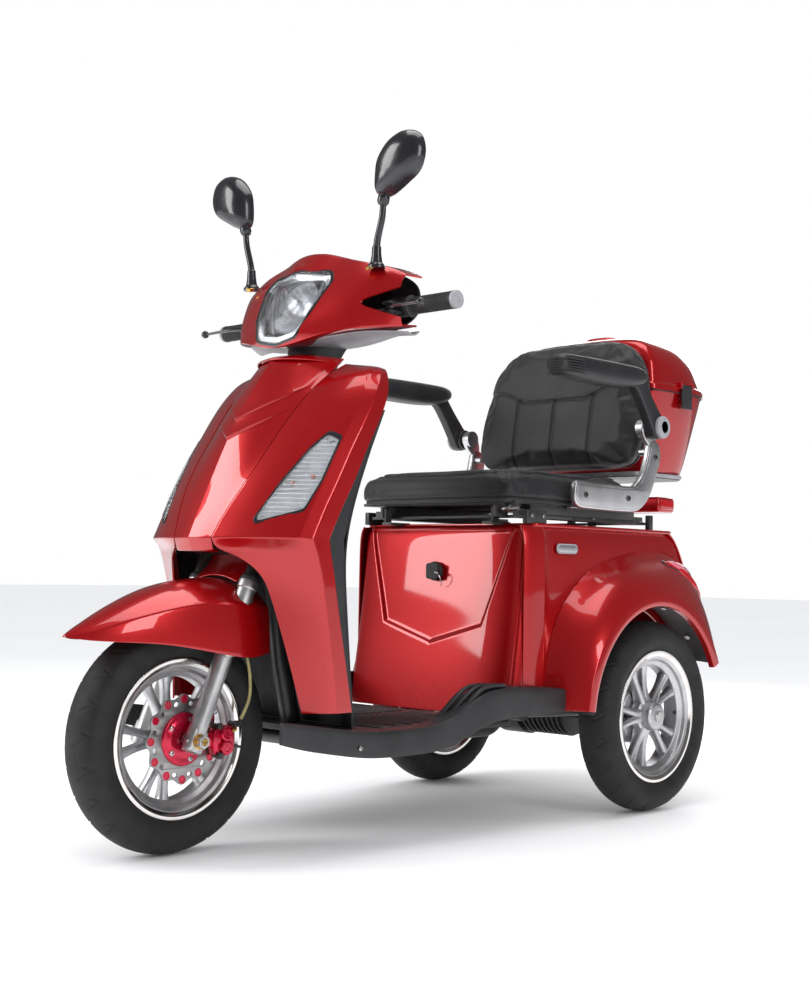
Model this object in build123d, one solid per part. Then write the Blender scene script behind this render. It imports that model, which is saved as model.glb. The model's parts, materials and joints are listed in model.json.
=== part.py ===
"""Three-wheeled seated mobility scooter with a fork-steered front wheel and a driven rear axle.

Everything is drawn in millimetres with the front hub on the X axis: +X is the rider's left, +Y runs back
from the front wheel, +Z is up and the floor is Z = 0. put() moves each sub-part by half the overall length,
so that the written origin is on the floor under the middle of the scooter.
"""

import math
import os

from build123d import *

# Driving dimensions
MID_Y = 645.0  # from the front hub back to the middle of the overall length
TYRE_R, TYRE_W, RIM_R = 203.0, 84.0, 140.0
WHEELBASE, HALF_TRACK = 1052.0, 298.0
RAKE = math.radians(23.0)
FORK_OFFSET = 38.0  # the steering axis runs this far behind the fork legs
LEG_X, SLIDER_R, STANCHION_R = 72.0, 16.5, 13.0
FORK_TRAVEL = 45.0
STEM_R, HEAD_BORE_R, HEAD_R = 15.0, 20.0, 25.0
HEAD_FROM, HEAD_TO = 405.0, 600.0  # head tube, measured up the steering axis from hub height
BAR_AT, BAR_R, BAR_HALF = 885.0, 11.0, 325.0
GRIP_FROM = 212.0
RUN = 0.06  # radial clearance of a running fit
GAP = 0.4  # gap left between two parts that only meet
PANEL = 4.0  # moulded panel thickness
PIVOT_Y, PIVOT_Z = 800.0, 215.0  # rear suspension pivot
SHOCK_X, SHOCK_TOP, SHOCK_FOOT = 190.0, (1085.0, 470.0), (1066.0, 262.0)
SEAT_HINGE = (712.0, 632.0)
ARM_PIVOT = (287.0, 1107.0, 831.0)
FLOOR_Z = 212.0
DECK_Z = 604.0

UP = Vector(0, math.sin(RAKE), math.cos(RAKE))  # along the fork and the steering axis
BACK = Vector(0, math.cos(RAKE), -math.sin(RAKE))
HUB = Vector(0, 0, TYRE_R)
AXIS_FOOT = HUB + BACK * FORK_OFFSET

os.makedirs("parts", exist_ok=True)


# Helpers


def put(name, *shapes):
    """Writes one sub-part, of one or more separate solids, in the scooter's own frame."""
    solids = [s for shape in shapes for s in shape.solids()]
    whole = Compound(children=[Pos(0, -MID_Y, 0) * s for s in solids])
    export_step(whole, f"parts/{name}.step")


def block(x, y, z):
    size = (x[1] - x[0], y[1] - y[0], z[1] - z[0])
    return Pos((x[0] + x[1]) / 2, (y[0] + y[1]) / 2, (z[0] + z[1]) / 2) * Box(*size)


def rod(start, end, radius, bore=0.0):
    start, end = Vector(*start), Vector(*end)
    length = (end - start).length
    place = Plane(origin=start, z_dir=end - start).location * Pos(0, 0, length / 2)
    solid = place * Cylinder(radius, length)
    return solid - place * Cylinder(bore, length + 2) if bore else solid


def pipe(points, radius, bend, bore=0.0):
    path = FilletPolyline(*[Vector(*p) for p in points], radius=bend)
    section = Plane(origin=path @ 0, z_dir=path % 0) * Circle(radius)
    if bore:
        section = section - Plane(origin=path @ 0, z_dir=path % 0) * Circle(bore)
    return sweep(section, path=path)


def joined(*shapes):
    """One solid from shapes that run into each other."""
    return Part() + [solid for shape in shapes for solid in shape.solids()]


def mirrored(shape):
    return mirror(shape, about=Plane.YZ)


def both(shape):
    return [shape, mirrored(shape)]


def main_solid(shape):
    return max(shape.solids(), key=lambda solid: solid.volume)


def whole_line(half):
    """A line given from its middle outwards, made symmetric about X = 0."""
    return [(-a, b) for a, b in reversed(half) if a > 0] + list(half)


def offset_line(line, distance):
    """The same open line moved sideways, to the left of its direction of travel."""
    moved = []
    for i, (a, b) in enumerate(line):
        before = line[max(i - 1, 0)]
        after = line[min(i + 1, len(line) - 1)]
        legs = [(a - before[0], b - before[1]), (after[0] - a, after[1] - b)]
        legs = [(u / math.hypot(u, v), v / math.hypot(u, v)) for u, v in legs if math.hypot(u, v) > 0]
        nx = -sum(v for _, v in legs) / len(legs)
        ny = sum(u for u, _ in legs) / len(legs)
        scale = distance / max(nx * nx + ny * ny, 0.3)
        moved.append((a + nx * scale, b + ny * scale))
    return moved


def skin(levels, thickness, to_point):
    """A panel of even thickness lofted through open lines, one for each (level, line)."""
    wires = []
    for level, line in levels:
        outline = list(line) + offset_line(line, thickness)[::-1]
        wires.append(Wire.make_polygon([Vector(*to_point(a, b, level)) for a, b in outline], close=True))
    return Solid.make_loft(wires, ruled=True)


def solid_stack(levels, to_point):
    wires = [
        Wire.make_polygon([Vector(*to_point(a, b, level)) for a, b in line], close=True)
        for level, line in levels
    ]
    return Solid.make_loft(wires, ruled=True)


def at_height(a, b, level):
    return a, b, level


def at_length(a, b, level):
    return a, level, b


def at_width(a, b, level):
    return level, a, b


def on_axis(distance, sideways=0.0):
    point = AXIS_FOOT + UP * distance
    return sideways, point.Y, point.Z


def on_leg(distance, side=1):
    point = HUB + UP * distance
    return side * LEG_X, point.Y, point.Z


def turned(profile, centre):
    """A solid of revolution about the wheel axis, from (across, radius) points."""
    outline = make_face(Polyline(*[(a, r) for a, r in profile], close=True))
    return Pos(*centre) * revolve(outline, axis=Axis.X)


def hub_plate(radius, x, bore, centre):
    return rod((x[0], centre.Y, centre.Z), (x[1], centre.Y, centre.Z), radius, bore)


# Wheels


def tyre(centre):
    half = TYRE_W / 2
    outer = [(-26.4, 128), (-29.4, 140.4), (-34, 143), (-half, 166), (-39, 185), (-22, 199), (0, TYRE_R)]
    inner = [(0, TYRE_R - 14), (-20, 186), (-30, 176), (-32, 164), (-24, 146), (-20, 128)]
    loop = outer + [(-a, r) for a, r in outer[-2::-1]]
    loop += [(-a, r) for a, r in inner[::-1]] + inner[1:]
    return turned(loop, centre)


def rim(centre, bore, blades=10):
    """Cast rim: a dropped-centre barrel, a hub and blades in close pairs."""
    barrel = [(-34, RIM_R), (-34, 134), (-31, 124), (-18, 121), (-14, 108), (14, 108)]
    barrel += [(18, 121), (31, 124), (34, 134), (34, RIM_R), (30, RIM_R), (27, 127.6), (15, 125)]
    barrel += [(11, 112), (-11, 112), (-15, 125), (-27, 127.6), (-30, RIM_R)]
    cast = turned(barrel, centre) + hub_plate(34, (centre[0] - 30, centre[0] + 30), bore, Vector(*centre))
    for i in range(blades):
        angle = 360 / blades * i + (8 if i % 2 else -8)
        blade = Pos(0, 0, 71) * Box(16, 17, 82)
        cast += Pos(*centre) * Rot(X=angle) * blade
    return cast - Pos(*centre) * Rot(Y=90) * Cylinder(bore, 120)


# Front wheel
front_centre = (0, 0, TYRE_R)
AXLE_R = 7.5
put("front_tyre", tyre(front_centre))
put("front_rim", rim(front_centre, AXLE_R + RUN))


def wave_disc():
    """Brake disc with a scalloped edge and slots, on a round carrier bolted to the hub."""
    scallops, disc_r = 10, 78.0
    disc = Rot(Y=90) * Cylinder(disc_r - 4, 4)
    for i in range(scallops):
        angle = math.tau / scallops * i
        lobe = Pos(0, (disc_r - 13) * math.cos(angle), (disc_r - 13) * math.sin(angle))
        disc += lobe * Rot(Y=90) * Cylinder(13, 4)
    for i in range(scallops):
        angle = math.tau / scallops * (i + 0.5)
        disc -= Pos(0, 66 * math.cos(angle), 66 * math.sin(angle)) * Rot(Y=90) * Cylinder(4, 8)
    carrier = Pos(3, 0, 0) * Rot(Y=90) * Cylinder(50, 6)
    bore = Rot(Y=90) * Cylinder(14, 60)
    return Pos(40, 0, TYRE_R) * (disc + carrier - bore)


def disc_spacer():
    """Boss that carries the disc on the hub."""
    return rod((30 + GAP, 0, TYRE_R), (38 - GAP, 0, TYRE_R), 44, 14)


put("brake_disc", wave_disc(), disc_spacer())

# Fork lowers: sliders, axle, caliper, mudguard and hose
SLIDER_FROM, SLIDER_TO = -20.0, 290.0


def slider():
    """Left fork lower leg, with its axle lug and the short stay that holds the mudguard's skirt."""
    leg = rod(on_leg(SLIDER_FROM), on_leg(SLIDER_TO), SLIDER_R)
    lug = Pos(LEG_X + 2, 0, TYRE_R) * Rot(X=-math.degrees(RAKE)) * Box(24, 34, 44)
    stay = block((84, 90.6), (58, 74), (350, 366))
    bore = rod(on_leg(60), on_leg(SLIDER_TO + 1), STANCHION_R + RUN)
    axle_hole = rod((40, 0, TYRE_R), (110, 0, TYRE_R), AXLE_R + RUN)
    return main_solid(joined(leg, lug, stay) - bore - axle_hole)


put("fork_sliders", *both(slider()))

axle_shaft = rod((-102, 0, TYRE_R), (102, 0, TYRE_R), AXLE_R)
axle_nuts = [
    Pos(side * 95, 0, TYRE_R) * Rot(Y=90) * (extrude(RegularPolygon(12, 6), 6, both=True) - Cylinder(AXLE_R, 20))
    for side in (1, -1)
]
axle_spacers = [
    rod((side * 31, 0, TYRE_R), (side * 55, 0, TYRE_R), 11, AXLE_R + 0.2) for side in (1, -1)
]
put("front_axle", axle_shaft, *axle_nuts, *axle_spacers)


def caliper():
    """Two-piston caliper that straddles the disc behind the left leg, on a plate from the slider lug."""
    body = block((32, 66), (54, 98), (170, 224)) - block((35, 45), (40, 84), (160, 240))
    pots = [rod((60, 76, z), (72, 76, z), 10.5) for z in (185, 209)]
    plate = block((54.5, 60.5), (22, 60), (187, 214))
    banjo = rod((60, 92, 212), (60, 108, 220), 5)
    return joined(body, *pots, plate, banjo)


put("brake_caliper", caliper())


def mudguard():
    """Peaked front mudguard with side skirts outside the fork legs."""
    stations = [
        (-222, 6, 382, 384, 386),
        (-190, 34, 376, 392, 403),
        (-130, 56, 375, 412, 437),
        (-60, 76, 371, 430, 467),
        (0, 90, 360, 436, 479),
        (70, 97, 347, 440, 486),
        (130, 97, 340, 436, 484),
        (150, 95, 365, 436, 480),
    ]
    levels = []
    for y, half, low, shoulder, ridge in stations:
        crown = (half * 0.5, ridge - (ridge - shoulder) * 0.32)
        levels.append((y, whole_line([(0, ridge), crown, (half * 0.93, shoulder), (half, low)])))
    guard = skin(levels, -PANEL, at_length)
    for side in (1, -1):
        guard -= rod(on_leg(100, side), on_leg(420, side), SLIDER_R + 2)
    return main_solid(guard)


put("front_mudguard", mudguard())

HOSE_R = 3.0
hose_route = [
    (60, 108, 226), (68, 116, 246), (76, 121, 274), (80, 117, 312), (78, 110, 352), (66, 118, 392), (48, 138, 430),
]
hose = pipe(hose_route, HOSE_R, 20)
put("brake_hose", hose)

# Steering: stem and yokes, bar, cowls, lamp and mirrors
YOKE_FROM, YOKE_TO = 352.0, 376.0


def yoke():
    plate = Location(Plane(origin=Vector(*on_axis(YOKE_FROM)), x_dir=(1, 0, 0), z_dir=UP)) * Pos(0, -FORK_OFFSET / 2, 12)
    return plate * Box(2 * LEG_X + 44, FORK_OFFSET + 36, YOKE_TO - YOKE_FROM)


def stanchion(side):
    return rod(on_leg(110, side), on_leg(YOKE_FROM + 6, side), STANCHION_R)


stem = rod(on_axis(YOKE_FROM + 4), on_axis(BAR_AT - 22), STEM_R)
clamp = Pos(*on_axis(BAR_AT)) * Rot(X=-math.degrees(RAKE)) * Box(64, 40, 46)
bar_centre = Vector(*on_axis(BAR_AT))
bar_hole = rod((-200, bar_centre.Y, bar_centre.Z), (200, bar_centre.Y, bar_centre.Z), BAR_R + 0.05)
put("steering_stem", joined(yoke(), stanchion(1), stanchion(-1), stem, clamp) - bar_hole)

put("handlebar", rod((-BAR_HALF, bar_centre.Y, bar_centre.Z), (BAR_HALF, bar_centre.Y, bar_centre.Z), BAR_R))

COWL_SECTIONS = [
    (0, [(345, 935), (208, 928), (236, 990), (284, 1092), (322, 1124), (402, 1116)]),
    (80, [(348, 944), (236, 942), (262, 1000), (304, 1076), (338, 1107), (402, 1103)]),
    (150, [(356, 962), (278, 958), (292, 1008), (318, 1058), (346, 1082), (402, 1082)]),
    (216, [(394, 984), (372, 980), (374, 1004), (378, 1030), (388, 1052), (404, 1056)]),
]


def cowl_solid(shrink):
    """The cowl's outer form, or its hollow when shrunk; the hollow runs out of the back."""
    half = []
    for x, line in COWL_SECTIONS:
        if shrink:
            line = [(y + (shrink if y < 375 else 40), z + (shrink if z < 1025 else -shrink)) for y, z in line]
        half.append((x, line))
    levels = [(-x, line) for x, line in reversed(half) if x > 0] + half
    return solid_stack(levels, at_width)


cowl = cowl_solid(0) - cowl_solid(PANEL)
lens_window = block((-66, 66), (150, 330), (958, 1066))
neck_room = block((-60, 60), (285, 420), (900, 950))
bar_line = (bar_centre.Y - 4, bar_centre.Z)
bar_room = [rod((side * 140, *bar_line), (side * 240, *bar_line), 46) for side in (1, -1)]
put("headlamp_cowl", main_solid(cowl - lens_window - neck_room - bar_room))

LENS_LINE = [(232, 960), (250, 1000), (276, 1050), (290, 1062)]


def lens():
    levels = [(x, [(y + 0.002 * x * x, z) for y, z in LENS_LINE]) for x in (-64, 0, 64)]
    return skin(levels, -3, at_width)


put("headlamp_lens", lens())


def reflector():
    bowl = Pos(0, 300, 1008) * Rot(X=68) * (Cylinder(50, 44) - Pos(0, 0, 6) * Cylinder(46, 44))
    bulb = Pos(0, 285, 1014) * Rot(X=68) * Cylinder(8, 26)
    return [bowl, bulb]


put("headlamp_reflector", *reflector())


def dash_outline(bottom, *right):
    """A closed outline that is the same on both sides, from its bottom point up the right side."""
    *side, peak = right
    left = [(-x, z) for x, z in side]
    return [*left[1::-1], bottom, *side, peak, *left[:1:-1]]


def dash():
    """Rider-side cover with the neck shroud round the stem."""
    back = solid_stack(
        [
            (404.8, dash_outline((0, 940), (150, 966), (212, 986), (212, 1052), (150, 1080), (0, 1112))),
            (436, dash_outline((0, 985), (90, 990), (120, 1000), (110, 1050), (80, 1070), (0, 1084))),
        ],
        at_length,
    )
    hollow = solid_stack(
        [
            (404, dash_outline((0, 946), (146, 970), (204, 990), (204, 1048), (146, 1074), (0, 1106))),
            (432, dash_outline((0, 989), (88, 994), (116, 1003), (107, 1047), (77, 1066), (0, 1080))),
        ],
        at_length,
    )
    return back - hollow


def neck_shroud():
    levels = [
        (892, [(-44, 296), (44, 296), (44, 392), (-44, 392)]),
        (933, [(-44, 312), (44, 312), (44, 420), (-44, 420)]),
    ]
    hollow = [
        (890, [(-40, 300), (40, 300), (40, 388), (-40, 388)]),
        (935, [(-40, 316), (40, 316), (40, 416), (-40, 416)]),
    ]
    return solid_stack(levels, at_height) - solid_stack(hollow, at_height)


put("dash_cover", dash(), neck_shroud())


def perch():
    """Left switch housing and lever clamp round the bar, with the lever's fork in front."""
    y, z = bar_centre.Y, bar_centre.Z
    shell = rod((168, y, z), (GRIP_FROM - 2, y, z), 19)
    ears = block((178, 202), (y - 44, y - 14), (z - 16, z + 6))
    slot = block((170, 210), (y - 50, y - 20), (z - 10.5, z + 0.5))
    pin_hole = rod((190, y - 34, z - 20), (190, y - 34, z + 10), 3.06)
    bar_hole = rod((160, y, z), (220, y, z), BAR_R + 0.05)
    return joined(shell, ears) - slot - pin_hole - bar_hole


LEVER_PIVOT = (190.0, bar_centre.Y - 34, bar_centre.Z - 5)
pivot_pin = rod((190, LEVER_PIVOT[1], LEVER_PIVOT[2] - 12), (190, LEVER_PIVOT[1], LEVER_PIVOT[2] + 12), 3)
put("lever_perches", *both(perch()), *both(pivot_pin))


def brake_lever():
    """Left brake lever, with the ball end that stops a hand from slipping off."""
    _, y, z = LEVER_PIVOT
    eye = rod((190, y, z - 4), (190, y, z + 4), 8)
    blade = pipe([(196, y - 3, z), (230, y - 30, z - 4), (300, y - 40, z - 8)], 4, 30)
    ball = Pos(304, y - 40.5, z - 8) * Sphere(8)
    return joined(eye, blade, ball) - rod((190, y, z - 9), (190, y, z + 9), 3.06)


put("brake_lever_left", brake_lever())
put("brake_lever_right", mirrored(brake_lever()))


def grip(side):
    y, z = bar_centre.Y, bar_centre.Z
    start, end = side * GRIP_FROM, side * (BAR_HALF + 6)
    sleeve = rod((start, y, z), (end, y, z), 16.5) + rod((start, y, z), (start + side * 6, y, z), 21)
    return sleeve - rod((side * 200, y, z), (side * (BAR_HALF + 0.5), y, z), BAR_R + RUN)


put("grip_left", grip(1))
put("throttle_grip", grip(-1))

MIRROR_FOOT, MIRROR_BALL = (177.0, 322.0, 1066.0), (196.0, 318.0, 1196.0)


def mirror_stem():
    """Left mirror stem: a foot on the cowl, a bent rod and the ball that the head turns on."""
    x, y, z = MIRROR_FOOT
    ball_x, ball_y, ball_z = MIRROR_BALL
    foot = rod((x, y, z + 8), (x, y, z + 26), 15)
    arm = pipe([(x, y, z + 14), (x + 1, y - 2, z + 50), (ball_x, ball_y, ball_z - 6)], 6, 30)
    return joined(foot, arm, Pos(*MIRROR_BALL) * Sphere(8))


put("mirror_stems", *both(mirror_stem()))


def mirror_outline(grow, y):
    """Pear-shaped outline of a mirror head in its own upright plane."""
    x, _, z = MIRROR_BALL
    shape = [(-12, 12), (-14, 50), (-4, 84), (24, 112), (56, 122), (86, 108), (98, 78), (88, 44), (56, 24), (14, 6)]
    cx, cz = 36, 62
    return y, [(x + cx + (a - cx) * grow, z + cz + (b - cz) * grow) for a, b in shape]


def mirror_head():
    """Left mirror: a hollow shell with a ball socket at its foot, and the glass in its mouth."""
    x, y, z = MIRROR_BALL
    rings = [mirror_outline(0.62, y - 26), mirror_outline(0.9, y - 14), mirror_outline(1.0, y + 8)]
    bowl = solid_stack(rings, at_length)
    hollow = solid_stack([mirror_outline(0.8, y - 10), mirror_outline(0.94, y + 9)], at_length)
    neck = rod((x + 5, y, z + 9), (x + 12, y, z + 26), 7)
    socket = Pos(x, y, z) * Sphere(12)
    ball_room = Pos(x, y, z) * Sphere(8 + RUN)
    stem_room = rod((x - 3, y, z - 30), (x - 1, y, z - 1), 9.5)
    shell = main_solid(joined(bowl - hollow, neck, socket) - ball_room - stem_room)
    glass = solid_stack([mirror_outline(0.88, y + 3), mirror_outline(0.88, y + 6)], at_length) - shell
    return [shell, main_solid(glass)]


put("mirror_head_left", *mirror_head())
put("mirror_head_right", *[mirrored(solid) for solid in mirror_head()])

# Frame
FRAME_R = 16.0
RAIL_X, RAIL_Z = 110.0, 178.0
TRAY_Z = 390.0  # the lower rails rise to this height under the batteries
SEAT_RAIL_X, SEAT_RAIL_Z = 205.0, 560.0


def half_frame():
    """Left half of the rear frame: floor rail, seat rail, post, suspension lug and shock bracket."""
    x, top_x = RAIL_X, SEAT_RAIL_X
    lower = pipe([(x, 300, RAIL_Z), (x, 770, RAIL_Z), (x, 850, 320), (x, 900, TRAY_Z), (x, 1225, TRAY_Z)], FRAME_R, 50)
    upper = rod((top_x, 740, SEAT_RAIL_Z), (top_x, 1225, SEAT_RAIL_Z), FRAME_R - 3)
    front_post = rod((x, 740, RAIL_Z), (top_x, 740, SEAT_RAIL_Z), FRAME_R - 3)
    rear_post = rod((x, 1215, TRAY_Z), (top_x, 1215, SEAT_RAIL_Z), FRAME_R - 3)
    lug = block((x - 12, x + 12), (785, 816), (178, 232))
    shock_y = (SHOCK_TOP[0] - 12, SHOCK_TOP[0] + 12)
    clevis = block((SHOCK_X - 15, SHOCK_X + 15), shock_y, (460, 556))
    clevis -= block((SHOCK_X - 6.5, SHOCK_X + 6.5), (1050, 1120), (450, 540))
    return joined(lower, upper, front_post, rear_post, lug, clevis)


def frame():
    """Welded tube frame, from the steering head to the shock brackets."""
    head = rod(on_axis(HEAD_FROM), on_axis(HEAD_TO), HEAD_R)
    down = pipe([on_axis(HEAD_FROM + 60), (0, 262, 330), (0, 300, RAIL_Z)], FRAME_R + 3, 60)
    across = [(300, RAIL_Z, RAIL_X), (740, RAIL_Z, RAIL_X), (1215, TRAY_Z, RAIL_X)]
    across += [(740, SEAT_RAIL_Z, SEAT_RAIL_X), (1215, SEAT_RAIL_Z, SEAT_RAIL_X)]
    bars = [rod((-x, y, z), (x, y, z), FRAME_R - 3) for y, z, x in across]
    tray = block((-190, 190), (745, 992), (TRAY_Z + FRAME_R - 2, TRAY_Z + FRAME_R + 2))
    welded = joined(head, down, *bars, tray, *both(half_frame()))
    welded -= rod(on_axis(HEAD_FROM - 2), on_axis(HEAD_TO + 2), HEAD_BORE_R)
    welded -= rod((-130, PIVOT_Y, PIVOT_Z), (130, PIVOT_Y, PIVOT_Z), 8 + RUN)
    for side in (1, -1):
        welded -= rod((side * 170, *SHOCK_TOP), (side * 210, *SHOCK_TOP), 5 + RUN)
    return main_solid(welded)


put("frame", frame())


def head_bearing(start):
    return rod(on_axis(start), on_axis(start + 16), HEAD_BORE_R - 0.01, STEM_R + RUN)


put("head_bearings", head_bearing(HEAD_FROM), head_bearing(HEAD_TO - 16))

# Front body: nose, side shields, indicator lenses, leg shield
SHIELD_LEVELS = [
    # height, nose middle, seam (x, y), outer edge (x, y), flange end y
    (560, 35, (54, 44), (220, 134), 172),
    (620, 61, (71, 71), (221, 166), 204),
    (660, 80, (83, 95), (222, 190), 228),
    (740, 118, (93, 150), (222, 237), 272),
    (800, 153, (100, 196), (221, 272), 304),
    (838, 177, (107, 228), (216, 296), 322),
    (878, 205, (116, 276), (196, 322), 336),
]


def nose():
    levels = []
    for z, middle, seam, _, _ in SHIELD_LEVELS:
        x = seam[0] - 1
        levels.append((z, whole_line([(0, middle), (x / 2, middle + 3), (x, seam[1])])))
    levels.append((902, whole_line([(0, 226), (56, 236), (117, 300)])))
    return skin(levels, PANEL, at_height)


def side_shield():
    """Left side shield above the wheel opening, from the nose's seam round to its own rear flange."""
    levels = []
    for z, _, seam, outer, flange in SHIELD_LEVELS:
        mid = ((seam[0] + 1 + outer[0]) / 2 + 6, (seam[1] + outer[1]) / 2 - 8)
        levels.append((z, [(seam[0] + 1, seam[1]), mid, outer, (outer[0] + 1, flange)]))
    return skin(levels, PANEL, at_height)


def lower_shield():
    levels = [
        (250, [(182, 150), (206, 190), (221, 236)]),
        (382, [(156, 125), (194, 160), (221, 208)]),
        (493, [(129, 100), (180, 138), (221, 186)]),
        (528, [(94, 68), (160, 108), (221, 178)]),
        (560, [(55, 44), (144, 81), (221, 172)]),
    ]
    return skin(levels, PANEL, at_height)


def indicator_window(inset=0.0):
    levels = [
        (586 + inset, [(132 + inset, 30), (150 - inset, 40), (150 - inset, 130), (132 + inset, 130)]),
        (604, [(126 + inset, 30), (190 - inset, 60), (190 - inset, 190), (126 + inset, 190)]),
        (700, [(150 + inset, 60), (202 - inset, 120), (202 - inset, 260), (150 + inset, 260)]),
        (744 - inset, [(174 + inset, 90), (205 - inset, 150), (205 - inset, 290), (174 + inset, 290)]),
    ]
    return solid_stack(levels, at_height)


def shield():
    return main_solid(joined(side_shield(), lower_shield()) - indicator_window())


put("nose_panel", nose())
put("shield_left", shield())
put("shield_right", mirrored(shield()))


def indicator():
    """Left indicator lens: the shield's missing piece, a little smaller all round."""
    return main_solid(side_shield() & indicator_window(inset=1.0))


put("indicator_lenses", *both(indicator()))


def leg_shield():
    levels = [
        (FLOOR_Z + GAP, whole_line([(0, 328), (100, 326), (214, 250)])),
        (330, whole_line([(0, 314), (100, 308), (214, 236)])),
        (560, whole_line([(0, 302), (100, 294), (214, 214)])),
        (700, whole_line([(0, 330), (100, 318), (214, 268)])),
        (800, whole_line([(0, 372), (100, 348), (213, 314)])),
        (860, whole_line([(0, 402), (90, 366), (192, 338)])),
    ]
    return skin(levels, -PANEL, at_height)


KEY = (110.0, 800.0)  # ignition barrel, across and up
key_hole = rod((KEY[0], 300, KEY[1]), (KEY[0], 380, KEY[1]), 11 + RUN)
put("leg_shield", leg_shield() - key_hole)
key_barrel = rod((KEY[0], 332, KEY[1]), (KEY[0], 358, KEY[1]), 11)
key_bow = block((KEY[0] - 1.5, KEY[0] + 1.5), (356, 384), (KEY[1] - 9, KEY[1] + 9))
put("ignition_key", joined(key_barrel, key_bow))

# Floor
SILL = [
    # length, underside, top, inner side, outer side
    (150, 184, 222, 221, 250),
    (252, 168, 216, 221, 252),
    (430, 168, 216, 221, 262),
    (500, 205, 270, 239, 292),
    (560, 222, 282, 239, 292),
    (812, 224, 270, 247, 292),
]


def footboard():
    """Moulded floor between two sills; each sill runs forward beside the wheel and rises in a ramp."""
    depth = (FLOOR_Z - 12, FLOOR_Z)
    floor = block((-222, 222), (246, 440), depth)
    wide_floor = block((-241, 241), (428, 660), depth)
    levels = [(60, [(226, 206), (236, 206), (236, 238), (232, 244), (226, 244)])]
    for y, low, high, inner, out in SILL:
        levels.append((y, [(inner, low), (out, low), (out, high - 6), (out - 8, high), (inner, high)]))
    sill = solid_stack(levels, at_length)
    frame_room = block((-24, 24), (240, 318), (190, 220))
    return main_solid(joined(floor, wide_floor, *both(sill)) - frame_room)


put("footboard", footboard())

# Rear body
COVER = [(216, 664), (390, 690), (596, 712)]


def battery_cover():
    """Front wall of the seat box, with its corners turned back and a raised chevron."""
    levels = [(z, whole_line([(0, y), (205, y + 2), (232, y + 24), (235, y + 44)])) for z, y in COVER]
    panel = skin(levels, PANEL, at_height)
    ridge = [(203, 590), (139, 396), (0, 356), (-139, 396), (-203, 590)]
    lean = (COVER[2][1] - COVER[1][1]) / (COVER[2][0] - COVER[1][0])
    points = [(x, COVER[1][1] + (z - COVER[1][0]) * lean, z) for x, z in ridge]
    bars = [rod(a, b, 5) for a, b in zip(points, points[1:])]
    port_hole = rod((0, 650, 505), (0, 740, 505), 15.5)
    return main_solid(joined(panel, *bars) - port_hole)


put("battery_cover", battery_cover())
put("charge_port", joined(rod((0, 692, 505), (0, 722, 505), 15), rod((0, 690, 505), (0, 696, 505), 21)))


REAR = Vector(0, WHEELBASE, TYRE_R)
ARCH_R, ARCH_OUT = 240.0, 264.0
WALL_X = 242.0


def side_panel():
    """Left body side wall with the mudguard that stands out over the rear wheel."""
    outline = [(736, 284), (736, DECK_Z - 2), (1262, DECK_Z - 2), (1322, 520)]
    outline += [(1322, 330), (1150, 226), (814, 226), (814, 284)]
    wall = extrude(Plane.YZ.offset(WALL_X) * make_face(Polyline(*outline, close=True)), PANEL)
    centre = Pos(0, REAR.Y, REAR.Z)
    band = Pos(WALL_X + 50, 0, 0) * centre * Rot(Y=90) * (Cylinder(ARCH_OUT, 99) - Cylinder(ARCH_OUT - PANEL, 110))
    lip = Pos(341, 0, 0) * centre * Rot(Y=90) * (Cylinder(ARCH_OUT, PANEL) - Cylinder(ARCH_R, PANEL + 2))
    wheel_room = rod((WALL_X - 4, REAR.Y, REAR.Z), (WALL_X + 8, REAR.Y, REAR.Z), ARCH_R)
    keep = block((200, 360), (700, 1340), (226, 700))
    behind = block((200, 360), (REAR.Y + 100, 1400), (200, 290))
    sill_room = block((200, 294), (700, 814), (200, 284))
    return main_solid((joined(wall - wheel_room, band, lip) & keep) - behind - sill_room)


put("side_panel_left", side_panel())
put("side_panel_right", mirrored(side_panel()))


def seat_deck():
    """Lid of the battery bay, open in the middle, with a notch for the luggage rack's posts."""
    plate = block((-240, 240), (738, 1246), (DECK_Z - 6, DECK_Z))
    bay = block((-150, 150), (800, 1120), (590, 620))
    notch = block((-44, 44), (1210, 1250), (590, 620))
    return plate - bay - notch


put("seat_deck", seat_deck())


def tail_panel():
    levels = [
        (300, whole_line([(0, 1306), (238, 1306)])),
        (450, whole_line([(0, 1318), (238, 1318)])),
        (520, whole_line([(0, 1312), (238, 1312)])),
        (DECK_Z - 2, whole_line([(0, 1264), (238, 1256)])),
    ]
    return skin(levels, -PANEL, at_height)


PLATE_Z, PLATE_SPACING = 400.0, 150.0
plate_pad = block((-110, 110), (1300, 1324), (PLATE_Z - 40, PLATE_Z + 40))
plate_hole = rod((PLATE_SPACING / 2, 1290, PLATE_Z), (PLATE_SPACING / 2, 1330, PLATE_Z), 3.3)
put("tail_panel", main_solid(joined(tail_panel(), plate_pad) - plate_hole - mirrored(plate_hole)))


def tail_light():
    """Left tail lamp, wrapped round the body's rear corner above the mudguard."""
    inner = WALL_X + PANEL + GAP
    levels = [
        (452, [(inner, 1290), (300, 1290), (292, 1322), (inner, 1326)]),
        (545, [(inner, 1226), (296, 1226), (290, 1262), (inner, 1296)]),
    ]
    over_arch = Pos(0, REAR.Y, REAR.Z) * Rot(Y=90) * Cylinder(ARCH_OUT + GAP, 700)
    return main_solid(solid_stack(levels, at_height) - over_arch)


brake_bar = block((-185, 185), (1275, 1345), (652, 690))
put("tail_lights", *both(tail_light()), brake_bar)


BATTERY = (181.0, 77.0, 167.0)
battery_z = TRAY_Z + FRAME_R + 2 + GAP + BATTERY[2] / 2
battery_places = [(0, 793), (-92, 871.5), (92, 871.5), (-92, 950), (92, 950)]
put("battery_pack", *[Pos(x, y, battery_z) * Box(*BATTERY) for x, y in battery_places])

# Luggage rack and box
RACK_Z = 734.0


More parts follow.
